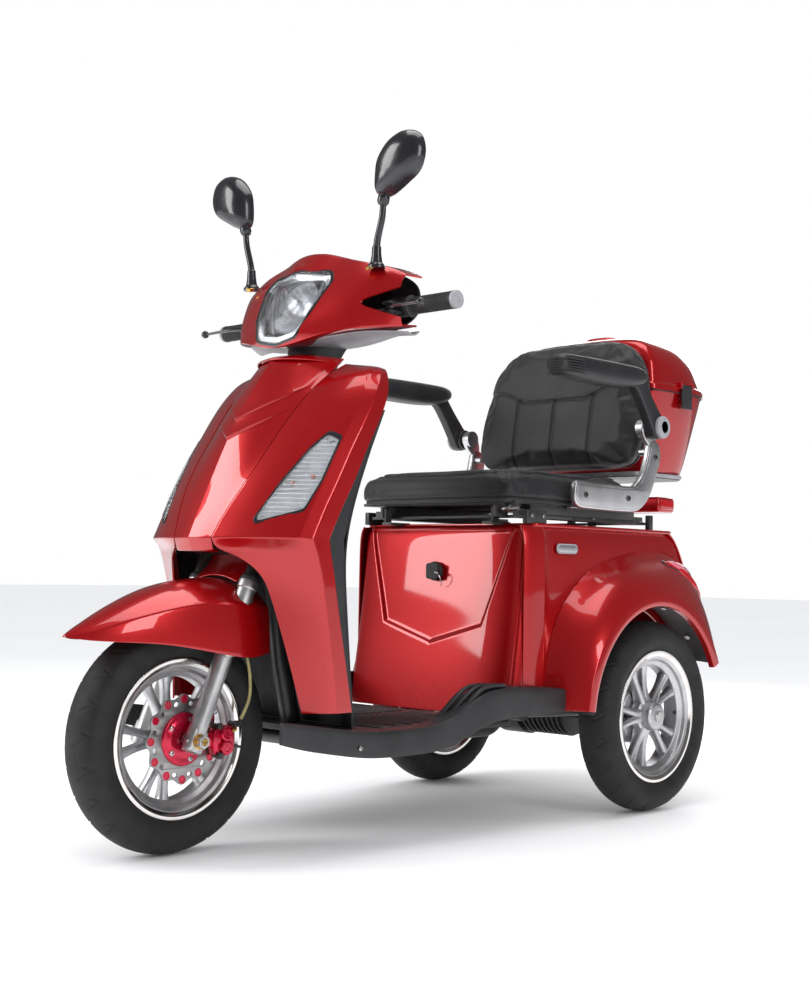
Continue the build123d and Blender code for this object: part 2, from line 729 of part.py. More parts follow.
def rack():
    """Carrier plate on two bent posts that rise from the frame's rear cross tube."""
    plate = block((-165, 165), (1216, 1430), (RACK_Z, RACK_Z + 12))
    post = pipe([(30, 1227, 574), (30, 1227, 700), (30, 1300, RACK_Z - 2)], 10, 25)
    foot = block((-38, 38), (1216.5, 1238), (573.3, 588))
    lamp_arm = block((22, 38), (1230, 1275 - GAP), (664, 680))
    return joined(plate, foot, *both(post), *both(lamp_arm))


put("luggage_rack", rack())

SEAM_Z = 940.0  # where the box's lid meets its base
BOX_FLOOR_Z = RACK_Z + 12 + GAP
BASE_FOOT = [(-160, 1242), (160, 1242), (168, 1390), (120, 1452), (-120, 1452), (-168, 1390)]
BASE_RIM = [(-192, 1232), (192, 1232), (204, 1400), (150, 1500), (-150, 1500), (-204, 1400)]
LID_RIM = [(-196, 1226), (196, 1226), (210, 1402), (154, 1512), (-154, 1512), (-210, 1402)]
LID_SHOULDER = [(-184, 1226), (184, 1226), (192, 1390), (132, 1466), (-132, 1466), (-192, 1390)]
LID_TOP = [(-150, 1240), (150, 1240), (150, 1370), (100, 1420), (-100, 1420), (-150, 1370)]


def inside(outline, wall):
    """The same outline drawn a wall's thickness further in."""
    cy = sum(y for _, y in outline) / len(outline)
    moved = []
    for x, y in outline:
        moved.append((x - math.copysign(wall, x), y - math.copysign(wall, y - cy)))
    return moved


def box_base():
    outer = [(BOX_FLOOR_Z, BASE_FOOT), (SEAM_Z - 4, BASE_RIM)]
    inner = [(BOX_FLOOR_Z + PANEL, inside(BASE_FOOT, PANEL)), (SEAM_Z - 3, inside(BASE_RIM, PANEL))]
    shell = solid_stack(outer, at_height) - solid_stack(inner, at_height)
    return shell


def box_lid():
    outer = [(SEAM_Z, LID_RIM), (1020, LID_SHOULDER), (1072, LID_TOP)]
    inner = [(SEAM_Z - 1, inside(LID_RIM, PANEL)), (1019, inside(LID_SHOULDER, PANEL)), (1068, inside(LID_TOP, PANEL))]
    shell = solid_stack(outer, at_height) - solid_stack(inner, at_height)
    return joined(shell, block((-45, 45), (1280, 1330), (1071, 1084)))


LID_PIN = (-214.0, 938.0)  # across and up; the lid's hinge pin runs fore and aft on the right side
KNUCKLE_R, PIN_R = 5.5, 2.5


def along(pin, y, radius, bore=0.0):
    return rod((pin[0], y[0], pin[1]), (pin[0], y[1], pin[1]), radius, bore)


fixed_knuckles = [along(LID_PIN, y, KNUCKLE_R) for y in ((1300, 1320), (1350, 1370))]
fixed_tabs = [block((-212, -194), y, (926, 933)) for y in ((1300, 1320), (1350, 1370))]
put("luggage_box", joined(box_base(), *fixed_knuckles, *fixed_tabs, along(LID_PIN, (1300, 1370), PIN_R)))
LATCH_PIN = (211.0, 955.0)
moving_knuckle = along(LID_PIN, (1321, 1349), KNUCKLE_R)
moving_tab = block((-212, -202), (1321, 1349), (940.5, 946))
latch_ears = [block((201, 214), y, (948, 962)) for y in ((1326, 1330), (1374, 1378))]
lid_body = joined(box_lid(), moving_knuckle, moving_tab, *latch_ears, along(LATCH_PIN, (1326, 1378), 2))
put("luggage_lid", main_solid(lid_body - along(LID_PIN, (1320.5, 1349.5), PIN_R + RUN)))
latch = block((208.8, 213.6), (1331, 1373), (900, 958)) - along(LATCH_PIN, (1320, 1380), 2 + RUN)
put("lid_latch", latch)

# Rear axle, motor, suspension
AXLE_TUBE_R, SHAFT_R = 21.0, 10.0


def rear_axle():
    """Axle tube with its gear case, motor and trailing arms, turning on the pivot shaft."""
    y, z = REAR.Y, REAR.Z
    tube = rod((-150, y, z), (150, y, z), AXLE_TUBE_R)
    gear_case = rod((-70, y, z), (-5, y, z), 66)
    motor = rod((-5, y, z), (120, y, z), 58)
    ribs = [rod((x, y, z), (x + 4, y, z), 62) for x in range(8, 112, 14)]
    arm = rod((150, y, z), (150, PIVOT_Y, PIVOT_Z), 14)
    eye = rod((128, PIVOT_Y, PIVOT_Z), (166, PIVOT_Y, PIVOT_Z), 20)
    ear_y, ear_z = (SHOCK_FOOT[0] - 13, SHOCK_FOOT[0] + 13), (205, SHOCK_FOOT[1] + 12)
    ears = [block((inner, inner + 8.5), ear_y, ear_z) for inner in (SHOCK_X - 15, SHOCK_X + 6.5)]
    flange = rod((232, y, z), (240, y, z), 60)
    left = joined(rod((100, y, z), (238, y, z), AXLE_TUBE_R), arm, eye, *ears, flange)
    pivot = rod((-170, PIVOT_Y, PIVOT_Z), (170, PIVOT_Y, PIVOT_Z), 8)
    housing = joined(tube, gear_case, motor, *ribs, *both(left), pivot)
    housing -= rod((-241, y, z), (241, y, z), SHAFT_R + RUN)
    for side in (1, -1):
        housing -= rod((side * 170, *SHOCK_FOOT), (side * 210, *SHOCK_FOOT), 5 + RUN)
    return main_solid(housing)


put("rear_axle", rear_axle())


def rear_rim():
    """Left rear wheel's rim and brake drum, and the half shaft that drives it."""
    y, z = REAR.Y, REAR.Z
    drum = rod((246, y, z), (284, y, z), 60) - rod((245, y, z), (266, y, z), 54)
    cast = joined(rim((HALF_TRACK, y, z), SHAFT_R + 0.3), drum)
    cast -= rod((240, y, z), (300, y, z), SHAFT_R + 0.3)
    shaft = rod((60, y, z), (338, y, z), SHAFT_R)
    nut = Pos(334, y, z) * Rot(Y=90) * extrude(RegularPolygon(14, 6), 4, both=True)
    return [cast, joined(shaft, nut)]


rear_tyre = tyre((HALF_TRACK, REAR.Y, REAR.Z))
put("rear_tyre_left", rear_tyre)
put("rear_tyre_right", mirrored(rear_tyre))
put("rear_rim_left", *rear_rim())
put("rear_rim_right", *[mirrored(solid) for solid in rear_rim()])

shock_top = Vector(0, *SHOCK_TOP)
shock_foot = Vector(0, *SHOCK_FOOT)
shock_line = (shock_foot - shock_top).normalized()


def on_shock(distance):
    point = shock_top + shock_line * distance
    return SHOCK_X, point.Y, point.Z


def shock_rod():
    """Left shock's upper half: eye, cross bolt, spring seat and damper rod."""
    eye = rod((184, *SHOCK_TOP), (196, *SHOCK_TOP), 11)
    bolt = rod((172, *SHOCK_TOP), (208, *SHOCK_TOP), 5)
    seat = rod(on_shock(13.5), on_shock(22), 24)
    neck = rod(on_shock(6), on_shock(16), 5.8)
    return joined(eye, bolt, seat, neck, rod(on_shock(20), on_shock(130), 6))


def shock_tube():
    """Left shock's lower half: damper tube, spring seat, eye and cross bolt."""
    eye = rod((184, *SHOCK_FOOT), (196, *SHOCK_FOOT), 11)
    bolt = rod((172, *SHOCK_FOOT), (208, *SHOCK_FOOT), 5)
    tube = rod(on_shock(78), on_shock(190), 13)
    seat = rod(on_shock(180), on_shock(186), 24)
    neck = rod(on_shock(188), on_shock(202), 5.5)
    return joined(eye, bolt, tube, seat, neck) - rod(on_shock(70), on_shock(184), 8)


def shock_spring():
    turns, start, end, wire_r = 6, 25.0, 177.0, 3.0
    rise = end - start - 2 * wire_r
    coil = Helix(pitch=rise / turns, height=rise, radius=19)
    wire = sweep(Plane(origin=coil @ 0, z_dir=coil % 0) * Circle(wire_r), path=coil)
    place = Plane(origin=Vector(*on_shock(start + wire_r)), z_dir=shock_line).location
    return place * wire


put("shock_rods", *both(shock_rod()))
put("shock_tubes", *both(shock_tube()))
put("shock_springs", *both(shock_spring()))

# Seat
SEAT_X, RAIL_TOP = 200.0, 648.0


def seat_frame():
    """Hinged carrier under the seat: two fixed slide rails and two hinge arms."""
    rail = block((176, 216), (727, 1180), (618, 624))
    web = block((188, 204), (727, 1180), (624, 636))
    arm = block((158, 164), (SEAT_HINGE[0] - 12, 741), (620, 644))
    front_bar = block((-182, 182), (732, 760), (618.5, 623.5))
    rear_bar = block((-182, 182), (1150, 1178), (618.5, 623.5))
    carrier = joined(front_bar, rear_bar, *both(joined(rail, web)), *both(arm))
    return carrier - rod((-230, *SEAT_HINGE), (230, *SEAT_HINGE), 4 + RUN)


put("seat_frame", seat_frame())


def hinge_mount():
    """Left seat hinge bracket, bolted to the deck, with its pin."""
    foot = block((130, 156), (SEAT_HINGE[0] - 14, 760), (DECK_Z + GAP, DECK_Z + 6))
    ear = block((150, 156), (SEAT_HINGE[0] - 9, SEAT_HINGE[0] + 9), (DECK_Z + GAP, 640))
    return joined(foot, ear, rod((150, *SEAT_HINGE), (168, *SEAT_HINGE), 4))


put("hinge_mount", *both(hinge_mount()))

LEVER_PIN = (706.0, 637.0)


def seat_pan():
    """Pressed pan that slides on the rails, with clips round them, bracket bars and the lever's stub pin."""
    plate = block((-216, 216), (700, 1092), (646, 652)) - block((-150, 150), (760, 1020), (640, 660))
    shoe = block((184, 208), (760, 1140), (640, 646))
    clips = [block(x, (760, 1140), (627, 641)) for x in ((184, 187.5), (204.5, 208))]
    bars = [block((-249.6, 249.6), y, (646, 652)) for y in ((872, 900), (1034, 1062))]
    lever_ear = block((186, 190), (700, 714), (630, 647))
    stub = rod((186, *LEVER_PIN), (202, *LEVER_PIN), 3)
    slider = joined(shoe, *clips)
    return joined(plate, *bars, *both(slider), lever_ear, stub)


put("seat_pan", seat_pan())
lever_eye = rod((192, *LEVER_PIN), (198, *LEVER_PIN), 7)
lever_crank = block((192, 198), (682, LEVER_PIN[0]), (632, 638))
lever_bar = rod((192, 684, 635), (236, 684, 635), 4)
put("seat_lever", joined(lever_eye, lever_crank, lever_bar) - rod((190, *LEVER_PIN), (204, *LEVER_PIN), 3 + RUN))


def seat_cushion():
    levels = [
        (652 + GAP, [(-205, 682), (205, 682), (238, 780), (238, 1080), (-238, 1080), (-238, 780)]),
        (690, [(-206, 662), (206, 662), (244, 770), (244, 1084), (-244, 1084), (-244, 770)]),
        (716, [(-190, 682), (190, 682), (226, 784), (226, 1080), (-226, 1080), (-226, 784)]),
    ]
    return solid_stack(levels, at_height)


put("seat_cushion", seat_cushion())


def backrest():
    levels = [
        (738, [(-226, 1094), (226, 1094), (216, 1140), (-216, 1140)]),
        (800, [(-236, 1094), (236, 1094), (226, 1160), (-226, 1160)]),
        (900, [(-236, 1104), (236, 1104), (226, 1178), (-226, 1178)]),
        (1000, [(-214, 1122), (214, 1122), (200, 1186), (-200, 1186)]),
        (1062, [(-140, 1146), (140, 1146), (130, 1184), (-130, 1184)]),
    ]
    return solid_stack(levels, at_height)


put("backrest", backrest())

BRACKET_LINE = [(846, 690), (846, 656), (866, 646), (1076, 646), (1112, 668), (1156, 760)]
BRACKET_LINE += [(1150, 800), (1124, 806), (1110, 770), (1080, 712), (1060, 700), (856, 700)]


def seat_bracket():
    """Left cast bracket that joins seat and backrest and carries the armrest's pivot pin."""
    plate = extrude(Plane.YZ.offset(250) * make_face(Polyline(*BRACKET_LINE, close=True)), 14)
    _, y, z = ARM_PIVOT
    boss = rod((250, y, z), (266, y, z), 20)
    neck = block((250, 264), (1094, 1140), (780, 826))
    pin = rod((262, y, z), (306, y, z), 6)
    studs = [rod((233.2, 1128, 780), (251, 1128, 780), 8)]
    return joined(plate, boss, neck, pin, *studs)


put("seat_brackets", *both(seat_bracket()))


def armrest():
    """Left armrest: a cranked arm on its pivot with a flat pad on top."""
    _, y, z = ARM_PIVOT
    eye = rod((267, y, z), (305, y, z), 24)
    side_view = [(1082, 826), (1122, 846), (1050, 948), (1000, 950), (990, 912)]
    arm = solid_stack([(268, side_view), (304, side_view)], at_width)
    pad = solid_stack(
        [
            (740, [(250, 886), (314, 886), (314, 914), (250, 914)]),
            (1040, [(250, 922), (314, 922), (314, 956), (250, 956)]),
        ],
        at_length,
    )
    return main_solid(joined(eye, arm, pad) - rod((240, y, z), (306.6, y, z), 6 + RUN))


put("armrest_left", armrest())
put("armrest_right", mirrored(armrest()))
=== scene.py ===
import json
from math import cos, exp, hypot, pi, radians, sin, tau

import bmesh
import bpy
from mathutils import Matrix, Vector
from mathutils.bvhtree import BVHTree


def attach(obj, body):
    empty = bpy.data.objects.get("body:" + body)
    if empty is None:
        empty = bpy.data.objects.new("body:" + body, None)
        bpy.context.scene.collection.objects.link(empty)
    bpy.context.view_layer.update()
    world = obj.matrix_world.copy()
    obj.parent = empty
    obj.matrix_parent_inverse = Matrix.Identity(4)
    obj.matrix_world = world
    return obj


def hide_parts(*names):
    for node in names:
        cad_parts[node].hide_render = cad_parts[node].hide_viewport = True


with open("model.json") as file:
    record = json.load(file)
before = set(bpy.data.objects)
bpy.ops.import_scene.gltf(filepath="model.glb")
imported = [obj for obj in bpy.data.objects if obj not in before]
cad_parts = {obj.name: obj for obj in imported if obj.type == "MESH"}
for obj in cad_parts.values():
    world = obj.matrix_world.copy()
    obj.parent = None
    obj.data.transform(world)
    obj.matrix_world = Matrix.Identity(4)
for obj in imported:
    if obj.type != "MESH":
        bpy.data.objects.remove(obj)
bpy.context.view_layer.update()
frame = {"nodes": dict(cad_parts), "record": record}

RECORD = frame["record"]
SLOT_OF = {part["node"]: part["material_slot"] for part in RECORD["subparts"]}
BODY_OF = {node: body for body, nodes in RECORD["behaviour"]["bodies"].items() for node in nodes}
SCENE = bpy.context.scene

# Places below are in millimetres with the front hub on the X axis, as the CAD draws them.
MID_Y = 645  # from the front hub back to the origin of the row frame
TYRE_R = 203
WHEELBASE = 1052
PANEL = 3.6  # moulded panel thickness
RAKE = radians(23)
BAR_Y, BAR_Z = 380.8, 1002.8  # the handlebar's centre line
LEG_X = 72
LENGTHWISE = {"right": (0, 1, 0), "up": (0, 0, 1)}  # axes of a plate that faces sideways


def place(x, y, z):
    """A point in the row frame, in metres."""
    return Vector((x, y - MID_Y, z)) / 1000


# Curves and meshes


def catmull(points, t):
    """A point between the middle two of four points, on a Catmull-Rom curve."""
    made = []
    for a, b, c, d in zip(*points):
        square, cube = (2 * a - 5 * b + 4 * c - d) * t * t, (3 * b - a - 3 * c + d) * t ** 3
        made.append(0.5 * (2 * b + (c - a) * t + square + cube))
    return tuple(made)


def smooth_loop(points, steps=8):
    count = len(points)
    quads = [[points[(i + k) % count] for k in (-1, 0, 1, 2)] for i in range(count)]
    return [catmull(quad, k / steps) for quad in quads for k in range(steps)]


def smooth_line(points, steps=8):
    first = tuple(2 * a - b for a, b in zip(points[0], points[1]))
    last = tuple(2 * a - b for a, b in zip(points[-1], points[-2]))
    every = [first, *points, last]
    made = [catmull(every[i:i + 4], k / steps) for i in range(len(points) - 1) for k in range(steps)]
    return made + [tuple(points[-1])]


def filleted(points, radius, steps=4, closed=False):
    """The same line with every corner rounded."""
    made = []
    count = len(points)
    for i, corner in enumerate(points):
        if not closed and i in (0, count - 1):
            made.append(tuple(corner))
            continue
        here = Vector(corner)
        before, after = Vector(points[i - 1]) - here, Vector(points[(i + 1) % count]) - here
        cut = min(radius, before.length * 0.45, after.length * 0.45)
        start, end = here + before.normalized() * cut, here + after.normalized() * cut
        for k in range(steps + 1):
            t = k / steps
            made.append(tuple(start * (1 - t) ** 2 + here * (2 * t * (1 - t)) + end * t * t))
    return made


def finished(bm, sharp=38):
    """A mesh from a bmesh, smooth but for its sharp edges."""
    mesh = bpy.data.meshes.new("work")
    bm.to_mesh(mesh)
    bm.free()
    mesh.shade_smooth()
    mesh.set_sharp_from_angle(angle=radians(sharp))
    return mesh


def full_width(half):
    """A row over the whole width, from its middle point and the points to the left of it."""
    return [(-x, y, z) for x, y, z in reversed(half[1:])] + list(half)


def grid(rows, closed=False, caps=False, ring=False):
    """A mesh over rows of points; closed joins each row's ends and ring joins the last row to the first."""
    bm = bmesh.new()
    verts = [[bm.verts.new(place(*p)) for p in row] for row in rows]
    count = len(rows[0])
    for i in range(len(rows) if ring else len(rows) - 1):
        upper, lower = verts[i], verts[(i + 1) % len(rows)]
        for j in range(count if closed else count - 1):
            k = (j + 1) % count
            bm.faces.new((upper[j], upper[k], lower[k], lower[j]))
    if caps:
        bm.faces.new(verts[0])
        bm.faces.new(verts[-1])
    bmesh.ops.remove_doubles(bm, verts=bm.verts, dist=1e-6)
    bmesh.ops.recalc_face_normals(bm, faces=bm.faces)
    return finished(bm)


def turned(profile, origin, axis, segments=64, closed=False):
    """A solid of revolution from (along, radius) points about a line through origin."""
    axis = Vector(axis).normalized()
    side = axis.orthogonal().normalized()
    other = axis.cross(side)
    rows = []
    for along, radius in profile:
        turns = [tau * k / segments for k in range(segments)]
        rows.append([Vector(origin) + axis * along + (side * cos(t) + other * sin(t)) * radius
                     for t in turns])
    return grid(rows, closed=True, caps=not closed, ring=closed)


def tube(points, radius, sides=20, flat=1.0, caps=True):
    """A round or flattened bar along points; radius is one number or one for each point."""
    points = [Vector(p) for p in points]
    radii = radius if isinstance(radius, (list, tuple)) else [radius] * len(points)
    heading = (points[1] - points[0]).normalized()
    side = heading.cross(Vector((0, 0, 1)))
    side = side.normalized() if side.length > 0.1 else Vector((1, 0, 0))
    rows = []
    for i, (point, r) in enumerate(zip(points, radii)):
        heading = (points[min(i + 1, len(points) - 1)] - points[max(i - 1, 0)]).normalized()
        side = (side - heading * side.dot(heading)).normalized()
        other = heading.cross(side)
        turns = [tau * k / sides for k in range(sides)]
        rows.append([point + side * (cos(t) * r) + other * (sin(t) * r * flat) for t in turns])
    return grid(rows, closed=True, caps=caps)


def shaped(mesh, *steps):
    """The mesh after a stack of modifiers, each one a type and its settings."""
    work = bpy.data.objects.new("work", mesh)
    SCENE.collection.objects.link(work)
    for kind, settings in steps:
        modifier = work.modifiers.new(kind.lower(), kind)
        for key, value in settings.items():
            setattr(modifier, key, value)
    bpy.context.view_layer.update()
    made = bpy.data.meshes.new_from_object(work.evaluated_get(bpy.context.evaluated_depsgraph_get()))
    bpy.data.objects.remove(work)
    return made


def cage(rows, hard_rows=(), hard_cols=(), closed=False, level=3, inner=None):
    """A subdivided surface over a net of control points, creased along the rows and columns named."""
    bm = bmesh.new()
    verts = [[bm.verts.new(place(*p)) for p in row] for row in rows]
    crease = bm.edges.layers.float.new("crease_edge")
    count = len(rows[0])
    for i in range(len(rows) - 1):
        for j in range(count if closed else count - 1):
            k = (j + 1) % count
            bm.faces.new((verts[i][j], verts[i][k], verts[i + 1][k], verts[i + 1][j]))
    hard_rows = hard_rows if isinstance(hard_rows, dict) else {i: 1 for i in hard_rows}
    hard_cols = hard_cols if isinstance(hard_cols, dict) else {j: 1 for j in hard_cols}
    for i, weight in hard_rows.items():
        row = verts[i]
        for j in range(count if closed else count - 1):
            bm.edges.get((row[j], row[(j + 1) % count]))[crease] = weight
    for j, weight in hard_cols.items():
        for i in range(len(rows) - 1):
            bm.edges.get((verts[i][j], verts[i + 1][j]))[crease] = weight
    bmesh.ops.recalc_face_normals(bm, faces=bm.faces)
    if inner:
        centre = place(*inner)
        facing = sum((f.calc_center_median() - centre).dot(f.normal) * f.calc_area() for f in bm.faces)
        if facing < 0:
            bmesh.ops.reverse_faces(bm, faces=bm.faces)
    mesh = finished(bm, 180)
    corners = {"levels": level, "render_levels": level, "boundary_smooth": "PRESERVE_CORNERS"}
    made = shaped(mesh, ("SUBSURF", corners))
    made.shade_smooth()
    made.set_sharp_from_angle(angle=radians(38))
    return made


def shell(mesh, thickness=PANEL, edge=1.2):
    """A skin given its thickness, inwards, with rounded edges."""
    solid = {"thickness": thickness / 1000, "offset": -1, "use_even_offset": True}
    round_edge = {"width": edge / 1000, "segments": 3, "limit_method": "ANGLE", "angle_limit": radians(50)}
    made = shaped(mesh, ("SOLIDIFY", solid), ("BEVEL", round_edge))
    made.shade_smooth()
    made.set_sharp_from_angle(angle=radians(32))
    return made


def displaced(mesh, push):
    """Moves each point along its normal by push(x, y, z) millimetres."""
    normals = [v.normal.copy() for v in mesh.vertices]
    for vert, normal in zip(mesh.vertices, normals):
        x, y, z = vert.co * 1000
        vert.co += normal * (push(x, y + MID_Y, z) / 1000)
    mesh.update()
    return mesh


def plate(outlines, thickness, origin, right=(1, 0, 0), up=(0, 0, 1), edge=0.8):
    """A flat plate with rounded edges; the first outline is its border and any others are holes."""
    curve = bpy.data.curves.new("work", "CURVE")
    curve.dimensions, curve.fill_mode = "2D", "BOTH"
    for outline in outlines:
        spline = curve.splines.new("POLY")
        spline.points.add(len(outline) - 1)
        for point, (a, b) in zip(spline.points, outline):
            point.co = (a / 1000, b / 1000, 0, 1)
        spline.use_cyclic_u = True
    curve.extrude = (thickness / 2 - edge) / 1000
    curve.bevel_depth, curve.offset, curve.bevel_resolution = edge / 1000, -edge / 1000, 2
    work = bpy.data.objects.new("work", curve)
    SCENE.collection.objects.link(work)
    mesh = bpy.data.meshes.new_from_object(work.evaluated_get(bpy.context.evaluated_depsgraph_get()))
    bpy.data.objects.remove(work)
    right, up = Vector(right).normalized(), Vector(up).normalized()
    turn = Matrix((right, up, right.cross(up))).transposed().to_4x4()
    mesh.transform(Matrix.Translation(place(*origin)) @ turn)
    bm = bmesh.new()
    bm.from_mesh(mesh)
    bmesh.ops.remove_doubles(bm, verts=bm.verts, dist=1e-6)
    bmesh.ops.recalc_face_normals(bm, faces=bm.faces)
    return finished(bm, 30)


def brick(x, y, z, edge=2.0):
    """A block between three pairs of limits, with rounded edges."""
    corners = [(x[i], y[j], z[k]) for i, j, k in ((0, 0, 0), (1, 0, 0), (1, 1, 0), (0, 1, 0))]
    top = [(a, b, z[1]) for a, b, _ in corners]
    block = grid([corners, top], closed=True, caps=True)
    made = shaped(block, ("BEVEL", {"width": edge / 1000, "segments": 3, "limit_method": "NONE"}))
    made.shade_smooth()
    made.set_sharp_from_angle(angle=radians(32))
    return made


def cut(mesh, *cutters):
    """The mesh less the cutters."""
    for cutter in cutters:
        tool = bpy.data.objects.new("tool", cutter)
        SCENE.collection.objects.link(tool)
        mesh = shaped(mesh, ("BOOLEAN", {"object": tool, "operation": "DIFFERENCE", "solver": "EXACT"}))
        bpy.data.objects.remove(tool)
    mesh.shade_smooth()
    mesh.set_sharp_from_angle(angle=radians(32))
    return mesh


def merged(*meshes):
    bm = bmesh.new()
    for mesh in meshes:
        bm.from_mesh(mesh)
    return finished(bm, 32)


def mirrored(mesh):
    """The same mesh on the other side of the scooter."""
    made = mesh.copy()
    made.transform(Matrix.Scale(-1, 4, (1, 0, 0)))
    made.flip_normals()
    return made


def piece(name, mesh, node, *replaced, slot=None, paint=None, body=None):
    """A visible piece that rides on the node's body, stands for the nodes replaced and has a material."""
    slot = slot or SLOT_OF[node]
    obj = bpy.data.objects.new(name, mesh)
    SCENE.collection.objects.link(obj)
    mesh.materials.clear()
    mesh.materials.append(PAINT[paint or slot])
    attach(obj, body or BODY_OF[node])
    if replaced:
        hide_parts(*replaced)
    return obj


def pair(name, mesh, node, **how):
    """A left piece and its mirrored right one, on one body."""
    piece(name + "_left", mesh, node, **how)
    piece(name + "_right", mirrored(mesh), node, **how)


def tree_of(mesh):
    return BVHTree.FromPolygons([v.co.copy() for v in mesh.vertices],
                                [tuple(p.vertices) for p in mesh.polygons])


def screw(origin, axis, radius=5, height=3):
    """A domed socket screw head."""
    r, h = radius, height
    profile = [(0, r), (h * 0.5, r), (h * 0.8, r * 0.88), (h, r * 0.6), (h, r * 0.42), (h * 0.4, r * 0.4)]
    return turned(profile, origin, axis, 24)


def hexagon(origin, axis, across, height):
    """A bevelled hexagon nut or bolt head."""
    r = across / 2
    profile = [(0, r * 0.97), (height * 0.15, r * 1.12), (height * 0.85, r * 1.12), (height, r * 0.95)]
    return turned(profile, origin, axis, 6)


# Materials


class Finish:
    """A Principled material and the nodes that vary it."""

    def __init__(self, name, colour, rough, metallic=0.0, coat=0.0, coat_rough=0.04, **sockets):
        self.material = bpy.data.materials.new(name)
        self.material.use_nodes = True
        self.tree = self.material.node_tree
        self.shader = self.tree.nodes["Principled BSDF"]
        self.colour, self.rough = colour, rough
        values = {"Base Color": (*colour, 1), "Roughness": rough, "Metallic": metallic}
        values |= {"Coat Weight": coat, "Coat Roughness": coat_rough, **sockets}
        for socket, value in values.items():
            self.shader.inputs[socket].default_value = value
        self.where = self.node("ShaderNodeTexCoord").outputs["Object"]

    def node(self, kind, **inputs):
        made = self.tree.nodes.new(kind)
        for socket, value in inputs.items():
            made.inputs[socket.replace("_", " ")].default_value = value
        return made

    def link(self, output, target):
        self.tree.links.new(output, target)

    def noise(self, scale, detail=3.0, stretch=None):
        made = self.node("ShaderNodeTexNoise", Scale=scale, Detail=detail)
        if stretch:
            mapping = self.node("ShaderNodeMapping", Scale=stretch)
            self.link(self.where, mapping.inputs["Vector"])
            self.link(mapping.outputs["Vector"], made.inputs["Vector"])
        else:
            self.link(self.where, made.inputs["Vector"])
        return made.outputs["Fac"]

    def cells(self, scale, feature="F1"):
        made = self.node("ShaderNodeTexVoronoi", Scale=scale)
        made.feature = feature
        self.link(self.where, made.inputs["Vector"])
        return made.outputs["Distance"]

    def ranged(self, value, low, high, start=0.3, end=0.7):
        made = self.node("ShaderNodeMapRange", From_Min=start, From_Max=end, To_Min=low, To_Max=high)
        self.link(value, made.inputs["Value"])
        return made.outputs["Result"]

    def shades(self, scale, other, start=0.35, end=0.65, detail=3.0, stretch=None):
        """The colour drifts between the base colour and another."""
        mix = self.node("ShaderNodeMix")
        mix.data_type = "RGBA"
        colours = [s for s in mix.inputs if s.type == "RGBA"]
        colours[0].default_value, colours[1].default_value = (*self.colour, 1), (*other, 1)
        self.link(self.ranged(self.noise(scale, detail, stretch), 0, 1, start, end), mix.inputs["Factor"])
        output = next(s for s in mix.outputs if s.type == "RGBA")
        self.link(output, self.shader.inputs["Base Color"])
        self.base = output
        return self

    def worn(self, edge, amount=0.5):
        """Lighter, rubbed colour along the sharp outer edges."""
        mix = self.node("ShaderNodeMix")
        mix.data_type = "RGBA"
        colours = [s for s in mix.inputs if s.type == "RGBA"]
        self.link(self.base, colours[0])
        colours[1].default_value = (*edge, 1)
        pointed = self.node("ShaderNodeNewGeometry").outputs["Pointiness"]
        self.link(self.ranged(pointed, 0, amount, 0.53, 0.62), mix.inputs["Factor"])
        self.link(next(s for s in mix.outputs if s.type == "RGBA"), self.shader.inputs["Base Color"])
        return self

    def smudged(self, low, high, scale=9.0, stretch=None):
        """Roughness that drifts over the surface."""
        self.link(self.ranged(self.noise(scale, 4, stretch), low, high, 0.1, 0.9),
                  self.shader.inputs["Roughness"])
        return self

    def bumped(self, *layers):
        """Stacked bumps; each layer is a height output, its strength and its depth in metres."""
        normal = None
        for height, strength, distance in layers:
            bump = self.node("ShaderNodeBump", Strength=strength, Distance=distance)
            self.link(height, bump.inputs["Height"])
            if normal:
                self.link(normal, bump.inputs["Normal"])
            normal = bump.outputs["Normal"]
        self.link(normal, self.shader.inputs["Normal"])
        return self


def candy_red():
    paint = Finish("candy_red", (0.5, 0.0005, 0.0035), 0.3, metallic=0.55, coat=1.0, coat_rough=0.03)
    paint.shades(2600, (0.38, 0.0004, 0.0025), 0.4, 0.62, 2).smudged(0.24, 0.34, 6)
    paint.bumped((paint.noise(3200, 1), 0.04, 0.0002))
    return paint.material


def red_lacquer():
    """The brighter anodised red of the caliper and the disc's carrier."""
    paint = Finish("anodised_red", (0.62, 0.006, 0.05), 0.25, metallic=0.75, coat=0.6)
    paint.shades(60, (0.48, 0.003, 0.03)).smudged(0.18, 0.36, 40)
    paint.bumped((paint.noise(900, 3), 0.15, 0.0002))
    return paint.material


def moulded_black():
    plastic = Finish("moulded_black", (0.014, 0.0145, 0.016), 0.5)
    plastic.shades(14, (0.022, 0.0225, 0.025)).worn((0.07, 0.07, 0.073)).smudged(0.42, 0.6, 22)
    plastic.bumped((plastic.cells(1400), 0.35, 0.0004), (plastic.noise(60, 4), 0.08, 0.0006))
    return plastic.material


def painted_black():
    paint = Finish("satin_black", (0.012, 0.012, 0.013), 0.38, metallic=0.1, coat=0.25, coat_rough=0.2)
    paint.shades(25, (0.022, 0.021, 0.02)).worn((0.12, 0.115, 0.11), 0.6).smudged(0.3, 0.5, 35)
    paint.bumped((paint.noise(500, 3), 0.12, 0.0003))
    return paint.material


def gloss_black():
    """Smooth glossy plastic of the mirror backs and levers."""
    plastic = Finish("gloss_black", (0.012, 0.012, 0.015), 0.24, coat=0.5, coat_rough=0.08)
    plastic.shades(18, (0.018, 0.018, 0.022)).smudged(0.2, 0.32, 12)
    plastic.bumped((plastic.noise(1200, 2), 0.03, 0.0002))
    return plastic.material


